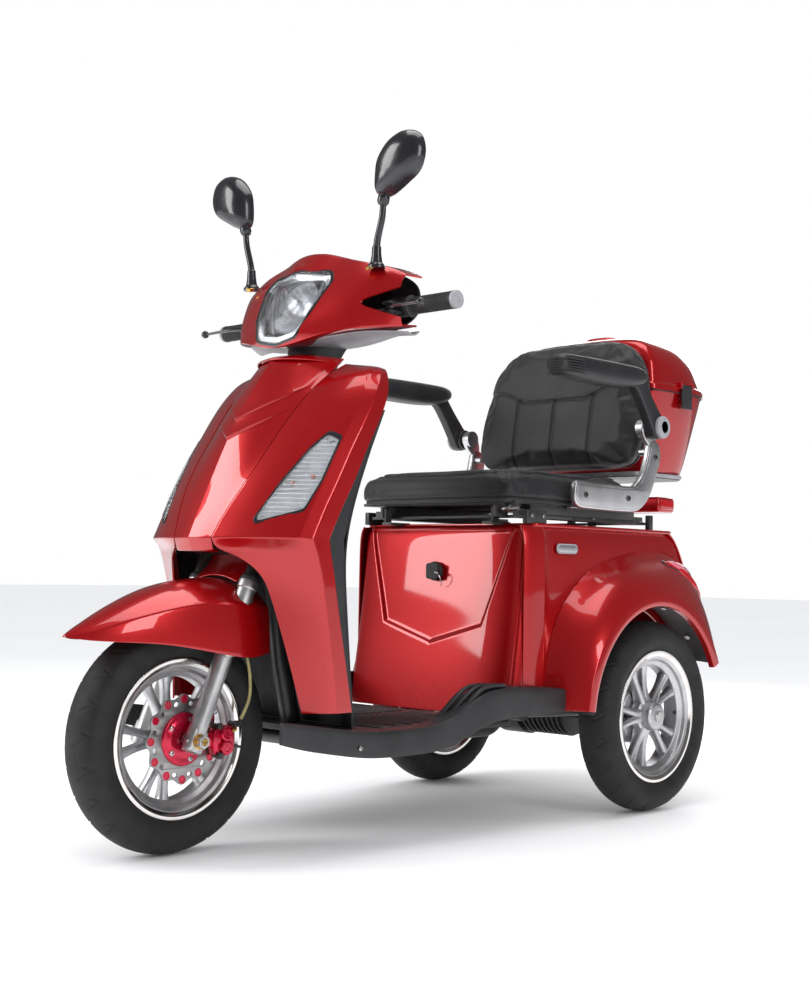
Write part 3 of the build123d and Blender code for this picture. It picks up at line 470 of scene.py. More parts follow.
def metal(name, colour, other, rough, brushed=None, depth=0.1):
    made = Finish(name, colour, rough, metallic=1.0)
    made.shades(30, other).smudged(rough * 0.75, min(rough * 1.4, 1), 45, brushed)
    made.bumped((made.noise(1100, 3, brushed), depth, 0.0002), (made.noise(90, 3), depth * 0.5, 0.0004))
    return made.material


def tyre_rubber():
    rubber = Finish("tyre_rubber", (0.006, 0.006, 0.007), 0.66)
    rubber.shades(30, (0.011, 0.011, 0.012)).smudged(0.58, 0.78, 26)
    rubber.bumped((rubber.noise(700, 4), 0.25, 0.0004), (rubber.cells(500), 0.12, 0.0003))
    return rubber.material


def soft_rubber():
    rubber = Finish("soft_rubber", (0.014, 0.014, 0.015), 0.58)
    rubber.shades(40, (0.022, 0.022, 0.024)).smudged(0.48, 0.68, 30)
    rubber.bumped((rubber.cells(1300), 0.3, 0.0003), (rubber.noise(200, 3), 0.08, 0.0003))
    return rubber.material


def leatherette():
    """Black artificial leather: pebbled grain, fine pores and a soft sheen."""
    hide = Finish("leatherette", (0.008, 0.0085, 0.01), 0.5,
                  **{"Sheen Weight": 0.12, "Sheen Roughness": 0.4})
    hide.shades(9, (0.013, 0.0135, 0.015)).smudged(0.44, 0.58, 15)
    hide.bumped((hide.cells(560), 0.45, 0.0007), (hide.noise(1500, 3), 0.18, 0.0003),
                (hide.noise(26, 3), 0.12, 0.0016))
    return hide.material


def armrest_foam():
    foam = Finish("armrest_foam", (0.012, 0.012, 0.014), 0.46, coat=0.15, coat_rough=0.3)
    foam.shades(12, (0.02, 0.02, 0.022)).smudged(0.4, 0.54, 18)
    foam.bumped((foam.cells(900), 0.25, 0.0004), (foam.noise(120, 3), 0.06, 0.0005))
    return foam.material


def clear_plastic():
    """Clear moulded lens: transparent, with a faint ripple and a roughness that drifts a little."""
    clear = Finish("clear_lens", (0.97, 0.98, 1.0), 0.02, **{"Transmission Weight": 1.0, "IOR": 1.2,
                                                             "Alpha": 0.4})
    clear.shades(12, (0.93, 0.95, 0.97)).smudged(0.01, 0.06, 30)
    clear.bumped((clear.noise(70, 2), 0.05, 0.0004))
    return clear.material


def lens_chrome():
    chrome = Finish("lens_chrome", (0.94, 0.95, 0.97), 0.14, metallic=0.75)
    chrome.shades(20, (0.82, 0.83, 0.87)).smudged(0.08, 0.22, 25)
    chrome.bumped((chrome.noise(160, 2), 0.06, 0.0004))
    return chrome.material


def lens_silver():
    """The back of the indicators: near-white and barely metallic, a painted reflection that stands in for
    the bright shine of the silver reflector.
    """
    # Near-white base colour: painted reflection in place of a metallic chrome shine.
    silver = Finish("lens_silver", (0.95, 0.96, 0.98), 0.3, metallic=0.1)
    silver.shades(60, (0.86, 0.87, 0.9)).smudged(0.22, 0.4, 40)
    silver.bumped((silver.noise(240, 2), 0.1, 0.0004))
    return silver.material


def lamp_red():
    red = Finish("lamp_red", (0.75, 0.004, 0.02), 0.08, coat=1.0, **{"Transmission Weight": 0.35})
    red.shades(35, (0.6, 0.002, 0.012)).smudged(0.05, 0.14, 20)
    red.bumped((red.noise(120, 2), 0.05, 0.0004))
    return red.material


def lamp_pink():
    """The pale upper part of the tail lamps."""
    pink = Finish("lamp_pink", (0.95, 0.42, 0.5), 0.07, coat=1.0, **{"Transmission Weight": 0.3})
    pink.shades(35, (0.9, 0.2, 0.28)).smudged(0.04, 0.12, 20)
    pink.bumped((pink.noise(160, 2), 0.06, 0.0004))
    return pink.material


def lamp_amber():
    amber = Finish("lamp_amber", (0.95, 0.4, 0.36), 0.12, coat=0.8, **{"Transmission Weight": 0.4})
    amber.shades(60, (0.95, 0.55, 0.5)).smudged(0.08, 0.2, 30)
    amber.bumped((amber.noise(300, 2), 0.08, 0.0003))
    return amber.material


def grey_trim():
    trim = Finish("grey_trim", (0.34, 0.34, 0.36), 0.42)
    trim.shades(25, (0.28, 0.28, 0.3)).smudged(0.34, 0.5, 25)
    trim.bumped((trim.cells(1300), 0.15, 0.0003))
    return trim.material


def pale_thread():
    thread = Finish("thread", (0.06, 0.06, 0.065), 0.6)
    thread.shades(900, (0.035, 0.035, 0.04)).smudged(0.5, 0.7, 200)
    thread.bumped((thread.noise(2500, 2), 0.4, 0.0003))
    return thread.material


def cable_sheath():
    sheath = Finish("cable_sheath", (0.36, 0.31, 0.13), 0.45)
    sheath.shades(60, (0.28, 0.24, 0.1)).smudged(0.35, 0.55, 60)
    sheath.bumped((sheath.noise(900, 2), 0.2, 0.0003))
    return sheath.material


def mirror_glass():
    glass = Finish("mirror_glass", (0.86, 0.89, 0.93), 0.02, metallic=1.0)
    glass.shades(8, (0.8, 0.84, 0.9)).smudged(0.01, 0.05, 12)
    glass.bumped((glass.noise(40, 2), 0.01, 0.0002))
    return glass.material


AROUND = (1.0, 14.0, 14.0)  # brush marks that run along the X axis
PAINT = {
    "red_panel": candy_red(),
    "black_plastic": moulded_black(),
    "black_steel": painted_black(),
    "handlebar_steel": metal("handlebar_steel", (0.06, 0.06, 0.065), (0.09, 0.09, 0.095), 0.3, AROUND),
    "black_alloy": gloss_black(),
    "tyre_rubber": tyre_rubber(),
    "cast_alloy": metal("cast_alloy", (0.66, 0.66, 0.67), (0.56, 0.56, 0.58), 0.4),
    "bracket_alloy": metal("bracket_alloy", (0.7, 0.7, 0.71), (0.62, 0.62, 0.64), 0.34, None, 0.2),
    "disc_steel": metal("disc_steel", (0.42, 0.4, 0.4), (0.34, 0.33, 0.34), 0.3),
    "caliper_red": red_lacquer(),
    "axle_steel": metal("axle_steel", (0.6, 0.6, 0.6), (0.48, 0.47, 0.46), 0.24),
    "shock_steel": metal("shock_steel", (0.3, 0.3, 0.31), (0.22, 0.22, 0.23), 0.3),
    "spring_steel": metal("spring_steel", (0.09, 0.09, 0.095), (0.06, 0.06, 0.065), 0.35),
    "grip_rubber": soft_rubber(),
    "hose_rubber": cable_sheath(),
    "mirror_shell": gloss_black(),
    "clear_lens": clear_plastic(),
    "chrome_reflector": lens_chrome(),
    "lens_silver": lens_silver(),
    "red_lens": lamp_red(),
    "battery_case": moulded_black(),
    "leatherette": leatherette(),
    "armrest_foam": armrest_foam(),
    "polished": metal("polished_lip", (0.86, 0.84, 0.82), (0.78, 0.74, 0.71), 0.1, None, 0.03),
    "slider_silver": metal("slider_silver", (0.66, 0.66, 0.67), (0.58, 0.58, 0.59), 0.42, None, 0.03),
    "brass": metal("brass", (0.72, 0.45, 0.12), (0.6, 0.36, 0.1), 0.28),
    "pink_lens": lamp_pink(),
    "amber_bulb": lamp_amber(),
    "grey_trim": grey_trim(),
    "thread": pale_thread(),
    "mirror_glass": mirror_glass(),
}
for node_name, node_object in frame["nodes"].items():
    node_object.data.materials.clear()
    node_object.data.materials.append(PAINT[SLOT_OF[node_name]])
    node_object.data.shade_smooth()
    node_object.data.set_sharp_from_angle(angle=radians(32))


# Camera, light and floor


def add_camera():
    azimuth, elevation, roll = radians(42.96), radians(-2.86), radians(1.06)
    back = Vector((sin(azimuth) * cos(elevation), -cos(azimuth) * cos(elevation), sin(elevation)))
    right = Vector((0, 0, 1)).cross(back).normalized()
    up = back.cross(right)
    tilted_right = right * cos(roll) + up * sin(roll)
    tilted_up = up * cos(roll) - right * sin(roll)
    data = bpy.data.cameras.new("camera")
    data.lens, data.sensor_width = 51.77, 36
    camera = bpy.data.objects.new("camera", data)
    SCENE.collection.objects.link(camera)
    camera.matrix_world = Matrix((tilted_right, tilted_up, back)).transposed().to_4x4()
    camera.location = (2.043, -2.238, 0.502)
    SCENE.camera = camera


def softbox(name, location, target, size, power):
    data = bpy.data.lights.new(name, "AREA")
    data.shape, data.size, data.size_y, data.energy = "RECTANGLE", *size, power
    light = bpy.data.objects.new(name, data)
    SCENE.collection.objects.link(light)
    light.location = location
    light.rotation_euler = (Vector(target) - Vector(location)).to_track_quat("-Z", "Y").to_euler()


def add_studio():
    """White surroundings with a darker room for reflections, four softboxes and a pale floor."""
    world = bpy.data.worlds.new("studio")
    SCENE.world = world
    world.use_nodes = True
    nodes, links = world.node_tree.nodes, world.node_tree.links
    path = nodes.new("ShaderNodeLightPath")
    shader = nodes["Background"].outputs["Background"]
    nodes["Background"].inputs["Color"].default_value = (0.97, 0.98, 1, 1)
    nodes["Background"].inputs["Strength"].default_value = 1.04
    for ray, grey in (("Is Glossy Ray", 0.12), ("Is Camera Ray", 1.0)):
        other = nodes.new("ShaderNodeBackground")
        other.inputs["Color"].default_value = (grey, grey, grey, 1)
        choice = nodes.new("ShaderNodeMixShader")
        links.new(path.outputs[ray], choice.inputs["Fac"])
        links.new(shader, choice.inputs[1])
        links.new(other.outputs["Background"], choice.inputs[2])
        shader = choice.outputs["Shader"]
    links.new(shader, nodes["World Output"].inputs["Surface"])
    SCENE.view_settings.view_transform = "Standard"
    softbox("key", (-1.9, -2.6, 2.1), (0, -0.3, 0.7), (1.2, 2.4), 58)
    softbox("side", (3.4, -0.6, 1.9), (0.2, 0.2, 0.5), (0.8, 2.0), 30)
    softbox("top", (0.2, 0.2, 3.4), (0, 0.1, 0.4), (2.0, 2.0), 36)
    softbox("rear", (-1.4, 3.2, 2.0), (0, 0.3, 0.6), (1.8, 1.4), 26)
    reach = 30000
    floor_rows = [[(x, y, -1) for x in range(-reach, reach + 1, 6000)]
                  for y in range(-reach, reach + 1, 6000)]
    floor = bpy.data.objects.new("floor", grid(floor_rows))
    SCENE.collection.objects.link(floor)
    pale = Finish("pale_floor", (0.95, 0.95, 0.95), 0.8)
    pale.shades(0.6, (0.93, 0.93, 0.935)).smudged(0.7, 0.85, 2)
    floor.data.materials.append(pale.material)


add_camera()
add_studio()


# Wheels

TYRE_SECTION = [(-27, 129), (-30, 139), (-36, 147), (-41, 160), (-41.6, 171), (-39, 184), (-32, 193),
                (-21, 199)]
TYRE_SECTION += [(-9, 202.2), (0, 202.8)]
SIPES = 22  # pitches of the tread


def sipe_depth(across, radius, turn):
    """How deep the tread is cut at a place: long swept grooves on each side with short ones between."""
    depth = 0
    side = 1 if across > 0 else -1
    reach = abs(across)
    for start, end, slant, shift in ((5, 39.5, 0.105, 0.0), (19, 41, -0.05, 0.42)):
        if reach < start or reach > end:
            continue
        along = (reach - start) / (end - start)
        centre = side * slant * along ** 1.4 + (0.5 if side > 0 else 0.0) * tau / SIPES
        pitch = (turn - centre) * SIPES / tau - shift
        gap = abs(pitch - round(pitch)) * tau / SIPES * radius
        fade = min(1, along * 5, (1 - along) * 5)
        depth = max(depth, 2.2 * fade * max(0, 1 - (gap / 2.0) ** 2))
    return depth


def tyre(name, node, centre):
    half = smooth_line(TYRE_SECTION, 4)
    section = half + [(-a, r) for a, r in half[-2::-1]]
    section += [(20, 133), (-20, 133)]
    count = 660
    rows = []
    for k in range(count):
        turn = tau * k / count
        row = []
        for across, radius in section:
            r = radius - (sipe_depth(across, radius, turn) if radius > 158 else 0)
            row.append((centre[0] + across, centre[1] + r * sin(turn), centre[2] + r * cos(turn)))
        rows.append(row)
    piece(name, grid(rows, closed=True, ring=True), node, node)


def blade(centre, at_hub, at_rim):
    """One spoke: a tapering rounded bar that sweeps from the hub to the barrel."""
    rows = []
    for radius, share, half_width, half_depth in (
        (30, 0.0, 12, 17), (44, 0.1, 9.5, 14), (62, 0.34, 7.6, 11), (82, 0.66, 7.4, 10),
        (98, 0.92, 8.6, 11), (114, 1.0, 12, 14),
    ):
        angle = radians(at_hub + (at_rim - at_hub) * share)
        out = Vector((0, sin(angle), cos(angle)))
        across = Vector((0, cos(angle), -sin(angle)))
        middle = Vector(centre) + out * radius
        corners = [(-1, -0.55), (-0.62, -1), (0.62, -1), (1, -0.55), (1, 0.55), (0.62, 1), (-0.62, 1),
                   (-1, 0.55)]
        rows.append([middle + across * (a * half_width) + Vector((b * half_depth, 0, 0))
                     for a, b in corners])
    return shaped(grid(rows, closed=True), ("SUBSURF", {"levels": 2, "render_levels": 2}))


def rim(name, node, centre):
    """Cast wheel: polished lips, a dropped barrel, a hub and five pairs of blades."""
    lip = filleted([(31, 127.4), (34.6, 134), (34.8, 141), (31, 141.6), (29.6, 139.5), (26.8, 128),
                    (22, 125.6)], 1.6)
    for side in (1, -1):
        profile = [(side * a, r) for a, r in lip]
        piece(f"{name}_lip_{'left' if side > 0 else 'right'}",
              turned(profile, centre, (1, 0, 0), 144, True),
              node, paint="polished")
    barrel = [(31.5, 128), (28, 121), (20, 119), (14.5, 108), (-14.5, 108), (-20, 119), (-28, 121),
              (-31.5, 128)]
    barrel += [(-27, 127.2), (-15, 124.6), (-11, 112), (11, 112), (15, 124.6), (27, 127.2)]
    parts = [turned(filleted(barrel, 2.4, closed=True), centre, (1, 0, 0), 144, True)]
    hub = [(-30, 14), (-30, 26), (-26, 30), (-12, 33), (-9, 38), (9, 38), (12, 33), (26, 30), (30, 26),
           (30, 14)]
    parts.append(turned(filleted(hub, 1.6), centre, (1, 0, 0), 96))
    for k in range(5):
        for side in (1, -1):
            middle = 54 + 72 * k
            parts.append(blade(centre, middle + side * 9, middle + side * 12))
    valve_angle = radians(90)
    foot = Vector(centre) + Vector((8, sin(valve_angle) * 110, cos(valve_angle) * 110))
    valve = turned([(0, 4), (4, 4), (5, 2.6), (20, 2.6), (21, 3.2), (28, 3.2), (29, 2.4)], foot,
                   (0.6, -sin(valve_angle), -cos(valve_angle)), 16)
    piece(name + "_valve", valve, node, paint="grip_rubber")
    return piece(name, merged(*parts), node, node)


def front_wheel():
    centre = (0, 0, TYRE_R)
    tyre("tyre_front", "front_tyre", centre)
    rim("rim_front", "front_rim", centre)
    disc_x, scallops = 40, 12
    wave = []
    for k in range(scallops * 12):
        turn = tau * k / (scallops * 12)
        wave.append(((75.5 + 3.5 * cos(turn * scallops)) * sin(turn),
                     (75.5 + 3.5 * cos(turn * scallops)) * cos(turn)))
    holes = [[(44 * sin(tau * k / 48), 44 * cos(tau * k / 48)) for k in range(48)]]
    for k in range(scallops):
        middle = tau * (k + 0.5) / scallops
        slot = []
        for m in range(16):
            t = tau * m / 16
            r, turn = 63 + 4.2 * cos(t), middle + 0.085 * sin(t)
            slot.append((r * sin(turn), r * cos(turn)))
        holes.append(slot)
    disc = plate([wave, *holes], 4, (disc_x, 0, TYRE_R), edge=0.6, **LENGTHWISE)
    piece("disc_wave", disc, "brake_disc", "brake_disc")
    petals = []
    for k in range(scallops):
        turn = tau * k / scallops
        foot = (disc_x + 2, 70 * sin(turn), TYRE_R + 70 * cos(turn))
        petals.append(turned(filleted([(0, 7.4), (0.7, 7.4), (1.0, 6.8), (1.0, 5.2), (0.1, 5.0)], 0.5),
                             foot, (1, 0, 0), 20))
    piece("disc_petals", merged(*petals), "brake_disc", slot="caliper_red")
    dish = [(-2, 47), (3.4, 47), (5.4, 45), (6.2, 40), (9.5, 33), (9.8, 20), (8.6, 16), (8.6, 12)]
    dish += [(-2, 12)]
    carrier = turned(filleted(dish, 1.4), (disc_x, 0, TYRE_R), (1, 0, 0), 96)
    piece("disc_carrier", carrier, "brake_disc", slot="caliper_red")
    screws = []
    for k in range(5):
        turn = tau * k / 5 + 0.3
        screws.append(screw((disc_x + 6.4, 36 * sin(turn), TYRE_R + 36 * cos(turn)), (1, 0, 0), 5.2, 4.4))
    boss = turned(filleted([(-10, 40), (-3, 40), (-1.6, 46)], 1), (disc_x, 0, TYRE_R), (1, 0, 0), 64)
    piece("disc_screws", merged(*screws, boss), "brake_disc", slot="axle_steel")


def rear_wheel(side):
    sign = 1 if side == "left" else -1
    centre = (sign * 298, WHEELBASE, TYRE_R)
    tyre(f"tyre_rear_{side}", f"rear_tyre_{side}", centre)
    rim(f"rim_rear_{side}", f"rear_rim_{side}", centre)
    outward = (sign, 0, 0)
    cap = filleted([(14, 31), (31, 30), (35, 25), (36, 17), (36, 10)], 2)
    nut = hexagon((centre[0] + sign * 33, WHEELBASE, TYRE_R), outward, 24, 8)
    stub = turned(filleted([(0, 9.4), (42, 9.4), (43.5, 8)], 1), (centre[0] - sign * 2, WHEELBASE, TYRE_R),
                  outward, 40)
    shaft = turned([(-236, 9.8), (4, 9.8)], centre, outward, 40)
    bolts = []
    for k in range(5):
        turn = tau * k / 5 + 0.3
        foot = (centre[0] + sign * 28.5, WHEELBASE + 25 * sin(turn), TYRE_R + 25 * cos(turn))
        bolts.append(hexagon(foot, outward, 9, 5))
    piece(f"hub_nut_{side}", merged(nut, stub, shaft, *bolts), f"rear_rim_{side}", slot="axle_steel")
    piece(f"hub_cap_{side}", turned(cap, centre, outward, 72), f"rear_rim_{side}")
    drum = [(-52, 59), (-16, 60), (-13.6, 58), (-13.6, 22), (-14, 12), (-30, 12), (-31, 54), (-52, 55)]
    ribs = [turned(filleted([(a, 59), (a, 62.4), (a + 2.4, 62.4), (a + 2.4, 59)], 0.6), centre, outward, 72)
            for a in (-48, -41, -34, -27, -20)]
    drum_mesh = turned(filleted(drum, 1.5, closed=True), centre, outward, 72, True)
    piece(f"brake_drum_{side}", merged(drum_mesh, *ribs), f"rear_rim_{side}")


front_wheel()
rear_wheel("left")
rear_wheel("right")


# Fork, caliper and mudguard

LEG_AXIS = Vector((0, sin(RAKE), cos(RAKE)))


def on_leg(distance, side=1, forward=0.0):
    """A place so far up a fork leg from the hub and so far ahead of it."""
    hub = Vector((side * LEG_X, 0, TYRE_R))
    return hub + LEG_AXIS * distance + Vector((0, -cos(RAKE), sin(RAKE))) * forward


def fork_legs():
    legs, seals, bolts = [], [], []
    for side in (1, -1):
        slider = filleted([(-20, 14), (-20, 16.4), (284, 16.4), (286, 18.4), (300, 18.4), (302, 15)], 1.4)
        legs.append(turned(slider, on_leg(0, side), LEG_AXIS, 56))
        lug = brick((-12, 12), (-16, 16), (-20, 22), 5)
        lug.transform(Matrix.Translation(-place(0, 0, 0)))
        lug.transform(Matrix.Translation(place(side * (LEG_X + 2), 0, TYRE_R))
                      @ Matrix.Rotation(-RAKE, 4, "X"))
        legs.append(lug)
        seals.append(turned(filleted([(299, 13.4), (300, 17.4), (306, 17.8), (312, 14.6), (314, 13.2)], 1),
                            on_leg(0, side), LEG_AXIS, 40))
        bolts.append(hexagon(on_leg(-2, side, 15) + Vector((side * 2, 0, 0)), (0, -cos(RAKE), sin(RAKE)),
                             10, 4))
        bolts.append(hexagon((side * 84.5, 66, 358), (side, 0, 0), 10, 7))
    stays = [brick((84, 90.4) if s > 0 else (-90.4, -84), (52, 74), (346, 368), 1.2) for s in (1, -1)]
    piece("fork_sliders_cast", merged(*legs), "fork_sliders", "fork_sliders", paint="slider_silver")
    piece("fork_seals", merged(*seals), "fork_sliders", slot="grip_rubber")
    piece("fork_stays", merged(*stays), "fork_sliders", slot="axle_steel")
    piece("fork_bolts", merged(*bolts), "fork_sliders", slot="axle_steel")


def axle_ends():
    ends = []
    for side in (1, -1):
        ends.append(turned(filleted([(86, 13.5), (88.4, 13.5), (88.4, 8)], 0.5), (0, 0, TYRE_R),
                           (side, 0, 0), 40))
        ends.append(hexagon((side * 88.4, 0, TYRE_R), (side, 0, 0), 22, 9))
        ends.append(turned(filleted([(96, 7.4), (101, 7.4), (102, 6.4)], 0.4), (0, 0, TYRE_R), (side, 0, 0),
                           32))
    piece("axle_nuts", merged(*ends), "front_axle", paint="brass")


def caliper():
    """Two-piston caliper with its bridge, pots, slide pins and bleed nipple."""
    halves = []
    outline = [(54, 176), (62, 170), (84, 171), (97, 178), (99, 196), (98, 214), (90, 223), (68, 224),
               (55, 218), (50, 198)]
    loop = smooth_loop(outline, 4)
    halves.append(plate([loop], 18, (55.4, 0, 0), edge=2.4, **LENGTHWISE))
    inner_loop = [(76 + (a - 76) * 0.9, 197 + (b - 197) * 0.9) for a, b in loop]
    halves.append(plate([inner_loop], 8, (31.4 + 4.2, 0, 0), edge=1.4, **LENGTHWISE))
    halves.append(brick((33, 63), (84, 97), (184, 212), 3))
    for z in (185, 209):
        profile = filleted([(0, 13), (7, 13), (9, 11.6), (9, 7), (8, 6)], 1.2)
        halves.append(turned(profile, (63.4, 76, z), (1, 0, 0), 40))
    halves.append(brick((54.4, 60.6), (22, 58), (187, 214), 2.4))
    piece("caliper_body", merged(*halves), "brake_caliper", "brake_caliper")
    pins = []
    for y, z in ((58, 224), (96, 226), (60, 172)):
        pins.append(turned(filleted([(-8, 4.6), (6, 4.6), (7, 6), (13, 6), (14, 4.6)], 0.8), (60, y, z),
                           (1, 0, 0), 24))
    pins.append(turned(filleted([(0, 3.6), (8, 3.6), (9, 2.4), (15, 2.4), (16, 1.8)], 0.5), (60, 100, 186),
                       (0, 1, -0.2), 20))
    piece("caliper_pins", merged(*pins), "brake_caliper", slot="black_steel")
    banjo = turned(filleted([(0, 5.4), (12, 5.4), (13, 4)], 0.8), (60, 92, 212), (0, 16, 8), 24)
    piece("caliper_banjo", banjo, "brake_caliper", slot="axle_steel", paint="brass")


HOSE_ROUTE = [
    (60, 108, 220), (63, 112, 232), (68, 116, 246), (76, 121, 274), (80, 117, 312), (78, 110, 352),
    (66, 118, 392), (48, 138, 430),
]


def hose():
    route = smooth_line(HOSE_ROUTE, 10)
    piece("hose_sheath", tube(route, 2.9, 16), "brake_hose", "brake_hose")
    boots = [tube(route[:12], [4.4 - 0.1 * k for k in range(12)], 16), tube(route[-10:], 4.0, 16)]
    piece("hose_boots", merged(*boots), "brake_hose", slot="grip_rubber")
    clip = brick((70, 84), (104, 118), (344, 352), 1)
    piece("hose_clip", clip, "fork_sliders", slot="axle_steel")


GUARD_STATIONS = [
    # length, half width, underside, shoulder, ridge
    (-222, 5, 383, 385, 387),
    (-206, 20, 380, 388, 397),
    (-180, 38, 377, 394, 410),
    (-130, 58, 375, 411, 437),
    (-60, 77, 371, 430, 467),
    (0, 90, 360, 440, 480),
    (60, 97, 349, 443, 487),
    (110, 98, 342, 440, 486),
    (150, 95, 352, 434, 478),
]


def mudguard():
    rows = []
    for y, half, low, shoulder, ridge in GUARD_STATIONS:
        rise = ridge - shoulder
        side = [(half * 0.3, ridge - rise * 0.06), (half * 0.62, ridge - rise * 0.4),
                (half * 0.93, shoulder)]
        side += [(half * 0.985, (shoulder + low) / 2), (half, low)]
        rows.append(full_width([(0, y, ridge)] + [(x, y, z) for x, z in side]))
    skin = cage(rows, hard_cols={2: 0.75, 8: 0.75}, level=3, inner=(0, 20, 300))
    skin = shell(skin, 3.4)
    rooms = [turned([(90, 18.6), (430, 18.6)], on_leg(0, s), LEG_AXIS, 48) for s in (1, -1)]
    piece("mudguard_shell", cut(skin, *rooms), "front_mudguard", "front_mudguard")
    skirt = [[(x, y, z + 60 * (1 - (x / 70) ** 2) * 0.25) for x in (-62, -40, -20, 0, 20, 40, 62)]
             for y, z in ((96, 474), (132, 500), (150, 532), (156, 560))]
    piece("mudguard_rear", shell(cage(skirt, level=2, inner=(0, 60, 420)), 3), "front_mudguard")


fork_legs()
axle_ends()
caliper()
hose()
mudguard()


# Front body

SHIELD_LEVELS = [
    # height, nose middle, seam (x, y), outer edge (x, y), flange end
    (557, 33, (53, 42), (220, 134), 172),
    (590, 47, (61, 56), (221, 150), 188),
    (620, 61, (71, 71), (221, 166), 204),
    (660, 80, (83, 95), (222, 190), 228),
    (705, 101, (91, 126), (222, 214), 250),
    (745, 121, (93, 154), (222, 238), 272),
    (800, 153, (100, 196), (221, 272), 304),
    (838, 177, (107, 228), (216, 296), 322),
    (878, 205, (116, 276), (196, 322), 336),
]
# The height of each V rib's foot and the (x, z) of its arm's end.
NOSE_RIBS = [(742, (92, 800)), (778, (102, 846))]
NOSE_PEAK = (902, 226, (118, 300))


def rib_height(x, z):
    """Two nested V ribs: each has a crisp lower edge and fades upwards and along its arms."""
    height = 0
    for foot_z, (end_x, end_z) in NOSE_RIBS:
        share = abs(x) / end_x
        if share > 1.06:
            continue
        line = foot_z + (end_z - foot_z) * (0.82 * share + 0.18 * share * share)
        above = (z - line) * 0.8
        fade = max(0, 1 - share ** 2) ** 0.8
        rise = min(1, max(0, (above + 2.6) / 2.6)) if above < 0 else exp(-above / 15)
        height = max(height, 5.0 * rise * fade)
    return height


def nose_rows():
    rows = []
    levels = [(z, mid, seam) for z, mid, seam, _, _ in SHIELD_LEVELS] + [NOSE_PEAK]
    for z, middle, (seam_x, seam_y) in levels:
        x = seam_x - 1.2
        side = [(x * 0.3, middle + (seam_y - middle) * 0.13), (x * 0.62, middle + (seam_y - middle) * 0.46)]
        side += [(x * 0.86, middle + (seam_y - middle) * 0.82), (x, seam_y)]
        rows.append(full_width([(0, middle, z)] + [(a, b, z) for a, b in side]))
    chin = [full_width([(0, y, z)] + side)
            for y, z, side in [
                (64, 530, [(14, 64, 530), (28, 64, 530), (40, 64, 531), (47, 64, 532)]),
                (42, 533, [(15, 43, 533), (30, 44, 533), (42, 46, 533), (51, 49, 534)]),
            ]]
    return chin + rows


def nose():
    skin = cage(nose_rows(), hard_rows={1: 0.9, 2: 0.9}, hard_cols={4: 1.0}, level=5, inner=(0, 250, 700))
    skin = displaced(skin, lambda x, y, z: rib_height(x, z))
    piece("nose_skin", shell(skin), "nose_panel", "nose_panel")
    crown = []
    for y, z, reach in ((214, 902, 1.0), (240, 912, 0.98), (272, 914, 0.9), (300, 908, 0.8)):
        crown.append([(x * reach, y + (x / 114) ** 2 * (300 - y) * 0.95, z - abs(x / 114) ** 3 * 10)
                      for x in (-114, -86, -50, 0, 50, 86, 114)])
    piece("nose_crown", shell(cage(crown, level=3, inner=(0, 250, 700)), 3), "nose_panel")


def shield_rows():
    rows = []
    lower = [
        (250, [(182, 150), (190, 157), (203, 170), (214, 184), (221, 200), (221, 236)]),
        (320, [(169, 137), (179, 145), (196, 160), (211, 174), (221, 188), (221, 222)]),
        (382, [(156, 125), (168, 134), (189, 150), (207, 165), (221, 177), (221, 208)]),
        (450, [(139, 112), (153, 122), (180, 141), (203, 156), (221, 164), (221, 194)]),
        (493, [(129, 100), (145, 112), (175, 130), (201, 144), (221, 154), (221, 186)]),
        (526, [(97, 70), (120, 84), (160, 108), (196, 126), (221, 143), (221, 178)]),
        (537, [(55, 48), (88, 66), (140, 96), (190, 120), (221, 139), (221, 175)]),
    ]
    for z, line in lower:
        rows.append([(x, y, z) for x, y in line])
    for z, _, (seam_x, seam_y), (out_x, out_y), flange in SHIELD_LEVELS:
        x0, y0 = seam_x + 1.2, seam_y
        x1, y1 = out_x - 15, out_y - 24
        rows.append([
            (x0, y0, z), (x0 + (x1 - x0) * 0.3, y0 + (y1 - y0) * 0.2 - 1, z),
            (x0 + (x1 - x0) * 0.68, y0 + (y1 - y0) * 0.56 - 2, z), (x1, y1, z), (out_x, out_y, z),
            (out_x + 1, flange, z),
        ])
    rows.append([(120, 303, 892), (134, 308, 890), (152, 314, 888), (170, 322, 886), (180, 330, 884),
                 (184, 338, 882)])
    return rows


def fanned(outline, scales, tree, towards, lift):
    """Rings that shrink to an outline's middle, laid on a surface; lift gives each ring's height off it."""
    direction = Vector(towards)
    centre = sum((Vector(p) for p in outline), Vector((0, 0, 0))) / len(outline)
    rows = []
    for scale in scales:
        row = []
        for point in outline:
            spot = centre + (Vector(point) - centre) * scale
            start = place(*spot) - direction * 0.5
            hit, normal, _, _ = tree.ray_cast(start, direction)
            if hit is None:
                hit, normal, _, _ = tree.find_nearest(place(*spot))
            if normal.dot(direction) > 0:
                normal = -normal
            on = hit + normal * (lift(scale) / 1000)
            row.append((on.x * 1000, on.y * 1000 + MID_Y, on.z * 1000))
        rows.append(row)
    return rows


INDICATOR = [(130, 583), (199, 606), (206, 660), (206, 742), (184, 752), (168, 722), (148, 664), (125, 593)]


